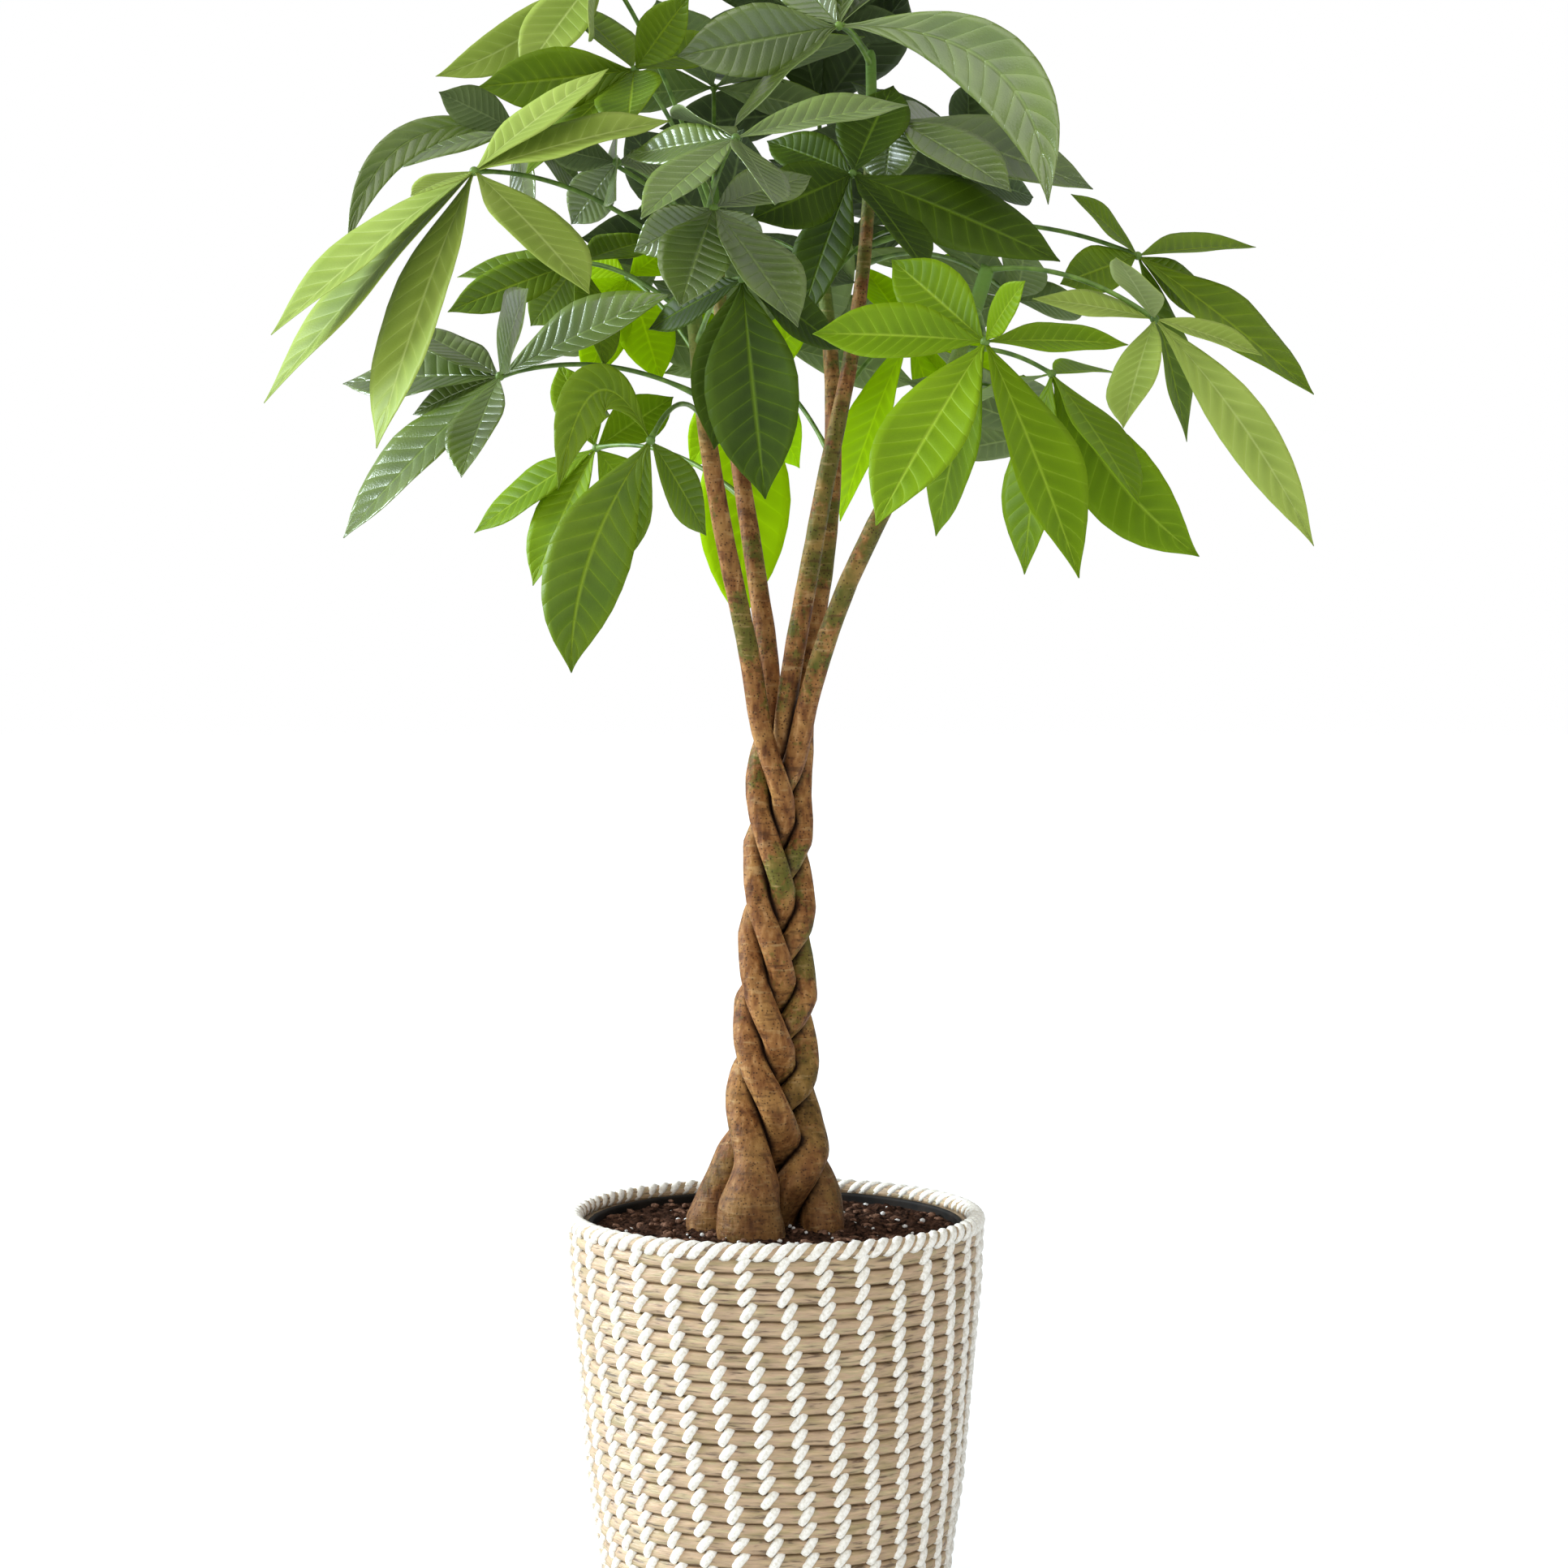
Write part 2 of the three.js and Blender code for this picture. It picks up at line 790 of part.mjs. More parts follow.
    colour: 0x447a33,
    stem: 4,
    from: 170,
    hub: [1102, 150, -20],
    leaflets: [
      [1245, 235, -80, 70],
      [1345, 235, -10, 70],
      [1090, 230, -130, 60],
      [1190, 170, 130, 50],
      [1010, 90, 80, 50],
    ],
  },
  {
    name: "leaf_far_left",
    colour: 0x5e9a38,
    stem: 1,
    from: 290,
    hub: [640, 165, 0],
    leaflets: [
      [543, 115, -60, -55],
      [444, 215, -10, 32],
      [430, 305, -60, 42, 500, 180],
      [660, 300, -60, 50],
      [720, 240, 90, 50],
    ],
  },
  {
    name: "leaf_middle_left",
    colour: 0x4a8228,
    stem: 0,
    from: 410,
    hub: [715, 325, -10],
    leaflets: [
      [553, 385, -20, 60],
      [565, 345, 40, 32],
      [745, 450, -70, 60],
      [655, 405, 50, 60],
      [810, 300, 80, 50],
    ],
  },
  {
    name: "leaf_bright_middle",
    colour: 0x90c63e,
    stem: 1,
    from: 520,
    hub: [775, 350, 160],
    leaflets: [
      [722, 480, -20, 60],
      [815, 477, -20, 72],
      [682, 405, 0, 45],
      [700, 320, 40, 45],
      [850, 300, 70, 60],
    ],
  },
];

// Leaves on the far side of the crown: stem, height down the picture, hub, reach and leaflet count.
const FAR_SEED = 11;
const FAR_SPREAD = 1.9;
const FAR_LEAVES = [
  [3, 300, [884, 306, 242], 150, 5],
  [3, 270, [1010, 150, 230], 160, 5],
  [1, 240, [880, 120, 190], 150, 5],
  [3, 330, [1130, 300, 300], 155, 5],
  [3, 420, [960, 440, 350], 160, 6],
  [4, 130, [1190, 230, 160], 130, 5],
  [1, 380, [780, 430, 300], 150, 5],
  [4, 70, [1010, 40, 130], 130, 5],
  [4, 330, [1250, 380, 200], 140, 5],
  [2, 500, [1290, 540, 120], 130, 5],
];

const random = (() => {
  let state = FAR_SEED;
  return () => {
    state = (state * 48271) % 2147483647;
    return state / 2147483647;
  };
})();

function bowed(from, middle, to, share) {
  const first = from.clone().lerp(middle, share);
  return first.lerp(middle.clone().lerp(to, share), share);
}

function seenLeaflets({ hub: spot, leaflets }) {
  const hub = seen(spot);
  return leaflets.map(([across, down, past, wide, bowAcross, bowDown]) => {
    const shownWidth = Math.abs(wide) * UNIT * (1 + (spot[2] + past) / -EYE.y);
    const at = (swing) => seen([across, down, spot[2] + past + swing]);
    const tip = at(0);
    const usual = THREE.MathUtils.clamp(hub.distanceTo(tip) * BLADE_SLIMNESS, ...BLADE_WIDTHS);
    const width = bowAcross === undefined ? Math.max(usual, shownWidth) : shownWidth;
    const open = shownWidth / width;
    const middle = hub.clone().add(tip).multiplyScalar(0.5);
    const toEye = EYE.clone().sub(middle).normalize();
    const chord = tip.clone().sub(hub).normalize();
    const flat = toEye.clone().cross(chord).normalize();
    if (flat.z < 0 || (Math.abs(flat.z) < 0.2 && flat.x * middle.x < 0)) flat.negate();
    let bow = null;
    if (bowAcross !== undefined) {
      const over = seen([bowAcross, bowDown, spot[2] + past / 2]);
      bow = over.sub(middle).multiplyScalar(2);
      flat.copy(bow).normalize();
    }
    const face = toEye.clone().multiplyScalar(wide < 0 ? -open : open);
    face.addScaledVector(flat, Math.sqrt(1 - open * open) + 0.15).normalize();
    return { tip, width, face, bow, swing: at };
  });
}

// A hand of leaflets round a hub that leans outward, its fingers spread and drooping.
function farLeaflets(hub, reach, count) {
  const out = new THREE.Vector3(hub.x, hub.y, 0).normalize();
  const crown = new THREE.Vector3(out.x, out.y, 0.75).normalize();
  const side = new THREE.Vector3(0, 0, 1).cross(out);
  const ahead = side.clone().cross(crown).negate();
  return Array.from({ length: count }, (_, i) => {
    const turn = ((i + 0.5) / count - 0.5) * 2 * FAR_SPREAD + (random() - 0.5) * 0.3;
    const length = reach * (0.72 + 0.28 * Math.cos(turn)) * (0.9 + 0.25 * random());
    const way = ahead.clone().multiplyScalar(Math.cos(turn)).addScaledVector(side, Math.sin(turn));
    const droop = 0.25 + 0.3 * random();
    const tip = hub.clone().addScaledVector(way, length).addScaledVector(crown, -droop * length);
    const face = crown.clone().addScaledVector(way, droop).normalize();
    const at = (swing) => tip.clone().addScaledVector(crown, swing * 0.7);
    return { tip, width: length * BLADE_SLIMNESS, face, bow: null, swing: at };
  });
}

// One leaflet: a thin keeled blade on an arched rib, its two faces split into triangles alike.
function blade(hub, { tip, width, face, bow }, swell) {
  const arch = bow ?? face.clone().multiplyScalar(2 * BLADE_ARCH * hub.distanceTo(tip));
  const middle = hub.clone().add(tip).multiplyScalar(0.5).add(arch);
  const start = BLADE_ROOT_AT / (2 * hub.distanceTo(middle));
  const rooted = [[start, (2 * BLADE_ROOT_HALF) / width], ...BLADE_STATIONS];
  const rows = rooted.map(([share, wide]) => {
    const rib = bowed(hub, middle, tip, share);
    const ahead = bowed(hub, middle, tip, share + 0.01).sub(rib).normalize();
    const across = ahead.clone().cross(face).normalize();
    const up = across.clone().cross(ahead);
    const half = (wide * width) / 2 + swell;
    const thick = BLADE_THICKNESS / 2 + swell;
    const keel = up.clone().multiplyScalar(share > 0.1 ? BLADE_KEEL * half : 0);
    return [
      rib.clone().addScaledVector(across, -half).add(keel),
      rib.clone().addScaledVector(up, thick),
      rib.clone().addScaledVector(across, half).add(keel),
      rib.clone().addScaledVector(up, -thick),
    ];
  });
  const point = bowed(hub, middle, tip, 1 + swell / hub.distanceTo(tip));
  const points = [...rows.flat(), point];
  const corners = [0, 3, 1, 1, 3, 2];
  for (let i = 0; i < rows.length - 1; i += 1) {
    const [l, t, r, b] = [0, 1, 2, 3].map((n) => i * 4 + n);
    corners.push(l, t, t + 4, l, t + 4, l + 4);
    corners.push(t, r, t + 4, r, r + 4, t + 4);
    corners.push(r, b, b + 4, r, b + 4, r + 4);
    corners.push(b, l, b + 4, l, l + 4, b + 4);
  }
  const last = (rows.length - 1) * 4;
  for (let n = 0; n < 4; n += 1) corners.push(last + n, last + ((n + 1) % 4), points.length - 1);
  const geometry = new THREE.BufferGeometry();
  const places = points.flatMap((p) => [p.x, p.y, p.z]);
  geometry.setAttribute("position", new THREE.Float32BufferAttribute(places, 3));
  geometry.setIndex(corners);
  return solid(geometry);
}

function boxOf(body) {
  const { min, max } = body.boundingBox();
  return new THREE.Box3(new THREE.Vector3(...min), new THREE.Vector3(...max));
}

// What has grown so far, to steer each new petiole and leaflet clear of it.
const grown = [];

function grow(body, owner) {
  grown.push({ body, owner, box: boxOf(body) });
}

// Volume shared with everything grown from other roots.
function clashes(body, owner) {
  const box = boxOf(body);
  let total = 0;
  for (const other of grown) {
    if (other.owner === owner || !other.box.intersectsBox(box)) continue;
    total += other.body.intersect(body).volume();
  }
  return total;
}

// Volume shared with leaflets of the same leaf, past the ball round the hub where they all meet.
function crowds(body, leaf) {
  const past = body.subtract(leaf.meeting);
  const siblings = grown.filter((other) => other.owner === leaf.name);
  return siblings.reduce((total, other) => total + other.body.intersect(past).volume(), 0);
}

function growPetiole(stem, spot, fromHeight, owner) {
  const hub = spot.clone();
  const from = stem.centres.reduce((best, p) =>
    Math.abs(p.z - fromHeight) < Math.abs(best.z - fromHeight) ? p : best,
  );
  const span = from.distanceTo(hub);
  const steps = PETIOLE_RADII.length - 1;
  const sideways = hub.clone().sub(from).cross(new THREE.Vector3(0, 0, 1)).normalize();
  let best = null;
  for (const sway of PETIOLE_SWAYS) {
    for (const rise of PETIOLE_RISES) {
      const middle = from.clone().add(hub).multiplyScalar(0.5);
      middle.addScaledVector(sideways, sway * span).add(new THREE.Vector3(0, 0, rise * span));
      const centres = PETIOLE_RADII.map((_, i) => bowed(from, middle, hub, i / steps));
      const fat = taperedTube(centres, PETIOLE_RADII.map((r) => r + CLEAR), PETIOLE_SIDES);
      const amount = clashes(fat, stem.name);
      if (best === null || amount < best.amount) {
        best = { amount, body: taperedTube(centres, PETIOLE_RADII, PETIOLE_SIDES) };
      }
      if (best.amount === 0) break;
    }
    if (best.amount === 0) break;
  }
  const ball = (radius) =>
    solid(new THREE.OctahedronGeometry(radius).translate(hub.x, hub.y, hub.z));
  const knob = ball(HUB_RADIUS);
  const body = best.body.subtract(stem.fat).add(knob);
  grow(body, owner);
  return { body, hub, meeting: ball(MEETING_RADIUS), name: owner };
}

function growLeaflet(leaf, leaflet) {
  let best = null;
  for (const swing of SWINGS) {
    for (const twist of TWISTS) {
      const tip = leaflet.swing(swing);
      const chord = tip.clone().sub(leaf.hub).normalize();
      const face = leaflet.face.clone().applyAxisAngle(chord, twist);
      const tried = { ...leaflet, tip, face };
      const bold = blade(leaf.hub, tried, CLEAR);
      const own = crowds(bold, leaf);
      const others = clashes(bold, leaf.name);
      const amount = own + 2 * others;
      if (best === null || amount < best.amount) best = { amount, others, tried };
      if (amount === 0) break;
    }
    if (best.amount === 0) break;
  }
  if (best.others > 0) return;
  const body = blade(leaf.hub, best.tried, 0);
  leaf.body = leaf.body.add(body);
  grow(body, leaf.name);
}

function growLeaves(stems) {
  for (const stem of stems) grow(stem.fat, stem.name);
  const seenPlans = SEEN_LEAVES.map((leaf) => ({
    ...leaf,
    place: seen(leaf.hub),
    plan: seenLeaflets(leaf),
  }));
  const farPlans = FAR_LEAVES.map(([stem, from, spot, reach, count], i) => ({
    name: `leaf_far_side_${i + 1}`,
    colour: COLOURS.leaf,
    stem,
    from,
    place: seen(spot),
    plan: farLeaflets(seen(spot), reach, count),
  }));
  const plans = [...seenPlans, ...farPlans];
  for (const plan of plans) {
    const fromHeight = seen([0, plan.from, 0]).z;
    plan.leaf = growPetiole(stems[plan.stem], plan.place, fromHeight, plan.name);
  }
  for (const { leaf, plan } of plans) {
    for (const leaflet of plan) growLeaflet(leaf, leaflet);
  }
  return plans;
}

function mesh(name, body, colour, roughness) {
  const material = new THREE.MeshStandardMaterial({ color: colour, roughness, metalness: 0 });
  const made = new THREE.Mesh(geometryOf(body), material);
  made.name = name;
  return made;
}

const stems = growStems();
const tree = new THREE.Group();
tree.add(mesh("basket", basketBody(), COLOURS.grass, 0.85));
tree.add(mesh("basket_stitching", basketStitching(), COLOURS.cord, 0.6));
tree.add(mesh("grow_pot", growPot(), COLOURS.growPot, 0.7));
tree.add(mesh("soil", soilPlug(stems), COLOURS.soil, 0.95));
for (const stem of stems) tree.add(mesh(stem.name, stem.body, COLOURS.bark, 0.75));
for (const { leaf, colour } of growLeaves(stems)) tree.add(mesh(leaf.name, leaf.body, colour, 0.4));

export default tree;
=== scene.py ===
import math
import random

import bmesh
import bpy
from mathutils import Matrix, Vector, noise


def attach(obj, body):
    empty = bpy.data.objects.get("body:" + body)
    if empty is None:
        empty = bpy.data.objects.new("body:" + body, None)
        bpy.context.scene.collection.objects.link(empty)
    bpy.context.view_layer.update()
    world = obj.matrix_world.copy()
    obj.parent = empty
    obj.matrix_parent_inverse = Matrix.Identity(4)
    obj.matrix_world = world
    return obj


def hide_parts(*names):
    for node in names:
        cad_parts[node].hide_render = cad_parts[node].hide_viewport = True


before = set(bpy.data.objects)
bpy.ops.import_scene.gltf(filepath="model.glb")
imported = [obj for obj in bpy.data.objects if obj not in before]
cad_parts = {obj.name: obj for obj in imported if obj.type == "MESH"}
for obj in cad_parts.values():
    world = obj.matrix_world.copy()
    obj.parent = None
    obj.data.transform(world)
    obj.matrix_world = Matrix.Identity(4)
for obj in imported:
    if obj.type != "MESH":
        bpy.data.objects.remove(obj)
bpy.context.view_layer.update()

# The studio: a camera square to the front that looks down a little on the rim, so near that the
# crown's top and the basket's foot fall outside the picture. A pale floor runs on past the view.
EYE = Vector((0.0072, -2.5, 0.779))
LOOK_DOWN = math.atan2(0.07, 2.5)
LENS = 71.2
SENSOR = 36
FLOOR_SIZE = 60
FLOOR_DROP = 0.0005
FLOOR_WHITE = (0.9, 0.9, 0.9, 1)
AMBIENT = 0.56
SUN_DISTANCE = 4
# Each light: the way to it, its strength, the angle it fills and its tint.
SUNS = {
    "window": (Vector((-1, 0.15, 0.42)), 5.5, math.radians(28), (0.82, 0.93, 1)),
    "room": (Vector((-0.35, -1, 0.75)), 1.2, math.radians(60), (1, 1, 1)),
}

camera_data = bpy.data.cameras.new("camera")
camera_data.sensor_width = SENSOR
camera_data.lens = LENS
camera = bpy.data.objects.new("camera", camera_data)
camera.location = EYE
camera.rotation_euler = (math.pi / 2 - LOOK_DOWN, 0, 0)
bpy.context.scene.collection.objects.link(camera)
bpy.context.scene.camera = camera
bpy.context.scene.view_settings.view_transform = "Standard"


def new_material(name):
    """A material with an empty node tree, and that tree."""
    material = bpy.data.materials.new(name)
    material.use_nodes = True
    material.node_tree.nodes.clear()
    return material, material.node_tree


def add(tree, kind, inputs, **settings):
    """A node with its settings; an input is linked where it is given a socket."""
    node = tree.nodes.new(kind)
    for key, value in settings.items():
        setattr(node, key, value)
    for key, value in inputs.items():
        if isinstance(value, bpy.types.NodeSocket):
            tree.links.new(value, node.inputs[key])
        else:
            node.inputs[key].default_value = value
    return node


def maths(tree, operation, first, second=0.0, third=0.0):
    """The result of one sum on sockets or numbers."""
    node = add(tree, "ShaderNodeMath", {0: first, 1: second, 2: third}, operation=operation)
    return node.outputs[0]


floor_material, tree = new_material("floor")
paint = {"Base Color": FLOOR_WHITE, "Roughness": 0.9}
floor_paint = add(tree, "ShaderNodeBsdfPrincipled", paint)
add(tree, "ShaderNodeOutputMaterial", {"Surface": floor_paint.outputs[0]})
floor_shape = bmesh.new()
bmesh.ops.create_grid(floor_shape, x_segments=1, y_segments=1, size=FLOOR_SIZE)
floor_data = bpy.data.meshes.new("floor")
floor_shape.to_mesh(floor_data)
floor_shape.free()
floor_data.materials.append(floor_material)
floor = bpy.data.objects.new("floor", floor_data)
floor.location.z = -FLOOR_DROP
bpy.context.scene.collection.objects.link(floor)

# The surround looks white and lights the plant a little less than it looks.
world = bpy.data.worlds.new("studio")
bpy.context.scene.world = world
world.use_nodes = True
tree = world.node_tree
seen = add(tree, "ShaderNodeLightPath", {}).outputs["Is Camera Ray"]
surround = tree.nodes["Background"].inputs
surround["Color"].default_value = (1, 1, 1, 1)
tree.links.new(maths(tree, "MULTIPLY_ADD", seen, 1 - AMBIENT, AMBIENT), surround["Strength"])

for name, (towards, strength, softness, tint) in SUNS.items():
    sun = bpy.data.lights.new(name, "SUN")
    sun.energy = strength
    sun.angle = softness
    sun.color = tint
    light = bpy.data.objects.new(name, sun)
    light.location = towards * SUN_DISTANCE
    light.rotation_euler = (-towards).to_track_quat("-Z", "Y").to_euler()
    bpy.context.scene.collection.objects.link(light)


# The basket's wall and foot: bundles of dried seagrass, wound in level coils one on another and
# sewn together. The wall widens upward, and its foot is the same coil wound in to the middle.
COIL_PITCH = 0.0122
COIL_COUNT = 29
COIL_RADIUS = 0.0066
COIL_SIDES = 20
COIL_GROOVE = 0.08
COIL_PRESS = 2.7
COIL_SWELL = 0.0008
COIL_LUMPS = ((22, 0.6), (70, 0.5))
SAG_SCALE = 30
SAG_SHIFT = 5
FOOT_CLEAR = 0.0002
GRASS_RELIEF = 0.0011
WALL_STEPS = 120
FOOT_STEPS = 60
FOOT_SIDES = 8
FOOT_PITCH = 0.0082
FOOT_COIL = 0.0042
RIM_RADIUS = 0.162
RIM_HEIGHT = 0.358
RIM_CORE = 0.0062
BASKET_OUTLINE = (
    (0.0, 0.128),
    (0.01, 0.1325),
    (0.11, 0.1445),
    (0.15, 0.1508),
    (0.31, 0.1653),
    (0.35, 0.1665),
)


def between(table, place):
    """A table's value at a place, on the straight line between the two rows next to it."""
    for (low, first), (high, second) in zip(table, table[1:]):
        if place <= high:
            return first + (second - first) * (place - low) / (high - low)
    return table[-1][1]


def set_coil(body, radius, height, thickness, sides, groove=0.0, press=2.0):
    """A coil's cross-section, pressed square, with a groove between each two strands of grass."""
    circle = bmesh.ops.create_circle(body, cap_ends=False, segments=sides, radius=thickness)
    section = circle["verts"]
    for vert in section:
        side = round(math.atan2(vert.co.y, vert.co.x) / (2 * math.pi) * sides)
        pressed = sum(abs(part / thickness) ** press for part in vert.co.xy) ** (-1 / press)
        vert.co *= pressed * (1 - groove * (side % 2))
    stand = Matrix.Translation((radius, 0, height)) @ Matrix.Rotation(math.pi / 2, 4, "X")
    bmesh.ops.transform(body, matrix=stand, verts=section)


def wind(body, steps):
    """Winds all the cross-sections of a body about the basket's axis."""
    bmesh.ops.spin(
        body,
        geom=body.verts[:] + body.edges[:],
        cent=(0, 0, 0),
        axis=(0, 0, 1),
        angle=2 * math.pi,
        steps=steps,
        use_merge=True,
    )
    bmesh.ops.recalc_face_normals(body, faces=body.faces)


def as_mesh(body, name):
    """Turns a finished shape into mesh data."""
    mesh = bpy.data.meshes.new(name)
    body.to_mesh(mesh)
    body.free()
    return mesh


def put(body, mesh, place=None):
    """Adds a copy of a mesh to a shape."""
    copy = mesh.copy()
    if place:
        copy.transform(place)
    body.from_mesh(copy)
    bpy.data.meshes.remove(copy)


def piece(name, body, materials):
    """A finished shape as a piece of the plant."""
    mesh = as_mesh(body, name)
    for material in materials:
        mesh.materials.append(material)
    for face in mesh.polygons:
        face.use_smooth = True
    made = bpy.data.objects.new(name, mesh)
    bpy.context.scene.collection.objects.link(made)
    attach(made, "root")
    return made


def ramp(tree, factor, *stops):
    """Colours between positions: each stop is a position and a colour."""
    node = add(tree, "ShaderNodeValToRGB", {"Fac": factor})
    elements = node.color_ramp.elements
    while len(elements) < len(stops):
        elements.new(0.5)
    for element, (position, colour) in zip(elements, stops):
        element.position = position
        element.color = (*colour, 1)
    return node.outputs["Color"]


def blend(tree, factor, first, second, mode="MIX"):
    """One colour laid over another: a Mix node's colours are inputs 6 and 7 and output 2."""
    inputs = {0: factor, 6: first, 7: second}
    for key in (6, 7):
        if not isinstance(inputs[key], bpy.types.NodeSocket):
            inputs[key] = (*inputs[key], 1)
    return add(tree, "ShaderNodeMix", inputs, data_type="RGBA", blend_type=mode).outputs[2]


def object_place(tree):
    """Where a spot lies on the plant, in metres."""
    return add(tree, "ShaderNodeTexCoord", {}).outputs["Object"]


def fine_noise(tree, vector, scale, detail):
    """Cloudy noise about 0.5."""
    inputs = {"Vector": vector, "Scale": scale, "Detail": detail}
    return add(tree, "ShaderNodeTexNoise", inputs).outputs["Fac"]


def fade(tree, value, low, high, start, end):
    """Runs from start to end while a value runs from low to high."""
    inputs = {"Value": value, "From Min": low, "From Max": high, "To Min": start, "To Max": end}
    return add(tree, "ShaderNodeMapRange", inputs).outputs[0]


def relief(tree, height, strength, distance):
    """A bump of the given depth in metres."""
    inputs = {"Height": height, "Strength": strength, "Distance": distance}
    return add(tree, "ShaderNodeBump", inputs).outputs[0]


def matt(tree, colour, rough, normal=None, shine=0.3):
    """Finishes a material with one plain skin."""
    inputs = {"Base Color": colour, "Roughness": rough, "Specular IOR Level": shine}
    if normal:
        inputs["Normal"] = normal
    skin = add(tree, "ShaderNodeBsdfPrincipled", inputs)
    add(tree, "ShaderNodeOutputMaterial", {"Surface": skin.outputs[0]})


wall = bmesh.new()
for coil in range(COIL_COUNT):
    height = COIL_RADIUS + coil * COIL_PITCH
    radius = between(BASKET_OUTLINE, height) - COIL_RADIUS
    set_coil(wall, radius, height, COIL_RADIUS, COIL_SIDES, COIL_GROOVE, COIL_PRESS)
set_coil(wall, RIM_RADIUS, RIM_HEIGHT, RIM_CORE, COIL_SIDES, COIL_GROOVE)
wind(wall, WALL_STEPS)
for vert in wall.verts:
    out = Vector((vert.co.x, vert.co.y, 0)).normalized()
    swell = sum(noise.noise(vert.co * scale) * share for scale, share in COIL_LUMPS)
    sag = noise.noise(vert.co * SAG_SCALE + out * SAG_SHIFT)
    vert.co += out * swell * COIL_SWELL
    vert.co.z = max(vert.co.z + sag * COIL_SWELL, FOOT_CLEAR)
foot = bmesh.new()
foot_radius = between(BASKET_OUTLINE, 0) - 2 * COIL_RADIUS
while foot_radius > FOOT_COIL:
    set_coil(foot, foot_radius, FOOT_COIL, FOOT_COIL, FOOT_SIDES)
    foot_radius -= FOOT_PITCH
wind(foot, FOOT_STEPS)
put(wall, as_mesh(foot, "foot"))

seagrass, tree = new_material("seagrass")
place = add(tree, "ShaderNodeSeparateXYZ", {0: object_place(tree)}).outputs
level = add(tree, "ShaderNodeCombineXYZ", {"X": place["X"], "Y": place["Y"]}).outputs[0]
reach = add(tree, "ShaderNodeVectorMath", {0: level}, operation="LENGTH").outputs["Value"]
turned = maths(tree, "ARCTAN2", place["X"], maths(tree, "MULTIPLY", place["Y"], -1.0))
rise = maths(tree, "ADD", place["Z"], reach)


def along_grass(cells_round, cells_up):
    """Noise drawn out along the strands."""
    around = maths(tree, "MULTIPLY", turned, cells_round)
    upward = maths(tree, "MULTIPLY", rise, cells_up)
    spot = add(tree, "ShaderNodeCombineXYZ", {"X": around, "Y": upward}).outputs[0]
    return fine_noise(tree, spot, 1.0, 3.0)


straw = ramp(
    tree,
    along_grass(4.0, 150.0),
    (0.3, (0.32, 0.25, 0.115)),
    (0.44, (0.45, 0.33, 0.19)),
    (0.54, (0.5, 0.35, 0.225)),
    (0.62, (0.45, 0.365, 0.205)),
    (0.72, (0.58, 0.425, 0.265)),
)
strands = along_grass(8.0, 420.0)
fibres = ramp(
    tree,
    strands,
    (0.33, (0.3, 0.25, 0.2)),
    (0.42, (0.85, 0.82, 0.78)),
    (0.7, (1.15, 1.12, 1.05)),
)
rough_grass = maths(tree, "ADD", strands, along_grass(14.0, 1500.0))
grass_relief = relief(tree, rough_grass, 0.8, GRASS_RELIEF)

# Painted shade, laid on unevenly, darkens the groove between each coil and the next.
coil_phase = maths(tree, "MULTIPLY_ADD", place["Z"], 1 / COIL_PITCH, -COIL_RADIUS / COIL_PITCH)
bulge = maths(tree, "COSINE", maths(tree, "MULTIPLY", coil_phase, 2 * math.pi))
unevenly = maths(tree, "MULTIPLY_ADD", along_grass(5.0, 90.0), 2.2, -0.45)
painted_groove_shade = maths(tree, "MULTIPLY", fade(tree, bulge, -1.0, -0.65, 0.85, 0.0), unevenly)
grass = blend(tree, painted_groove_shade, blend(tree, 1.0, straw, fibres, "MULTIPLY"), (0.13, 0.075, 0.03))
matt(tree, grass, 0.5, grass_relief, shine=0.7)

basket = piece("basket_wall", wall, [seagrass])
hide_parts("basket")


# The sewing: thick white twisted cord. Each stitch binds a coil to the one below it, slanting up to
# the right, and the columns drift to the right on the way down. The rim is overcast all round.
SEWING_SEED = 5
COLUMNS = 34
COLUMN_START = math.radians(-3)
COLUMN_LEAN = math.radians(13)
STITCH_SLANT = math.radians(36)
STITCH_HALF = (0.0038, 0.0034, 0.0091)
STITCH_BLUNT = 4.0
STITCH_BEND = 22
STITCH_SEAT = 0.0008
STITCH_SIDES = 8
STITCH_POLE = 0.01
STITCH_LIFT = 0.1
LOWEST_STITCH = 0.0094
WALL_TOP = 0.3496
HEIGHT_WANDER = 0.0006
ANGLE_WANDER = 0.006
SLANT_WANDER = 0.1
RIM_CORD = 0.003
RIM_CORD_FLATTENED = (0.85, 1.65, 1)
RIM_WRAPS = 80
WRAP_SECTION = 7
WRAP_TURN = math.radians(255)
WRAP_START = math.radians(-52)
WRAP_STEPS = 10
WRAP_ADVANCE = 0.021
WRAP_BITE = 0.0008
WRAP_WANDER = 0.08
CORD_RELIEF = 0.0009

one_stitch = bmesh.new()
bmesh.ops.create_uvsphere(one_stitch, u_segments=STITCH_SIDES, v_segments=STITCH_SIDES, radius=1)
for vert in one_stitch.verts:
    reach = math.hypot(vert.co.x, vert.co.y)
    if reach > STITCH_POLE:
        fuller = (1 - abs(vert.co.z) ** STITCH_BLUNT) ** (1 / STITCH_BLUNT) / reach
        vert.co.x *= fuller
        vert.co.y *= fuller
    vert.co = Vector(size * part for size, part in zip(STITCH_HALF, vert.co))
    vert.co.y -= STITCH_BEND * vert.co.z**2
stitch = as_mesh(one_stitch, "stitch")

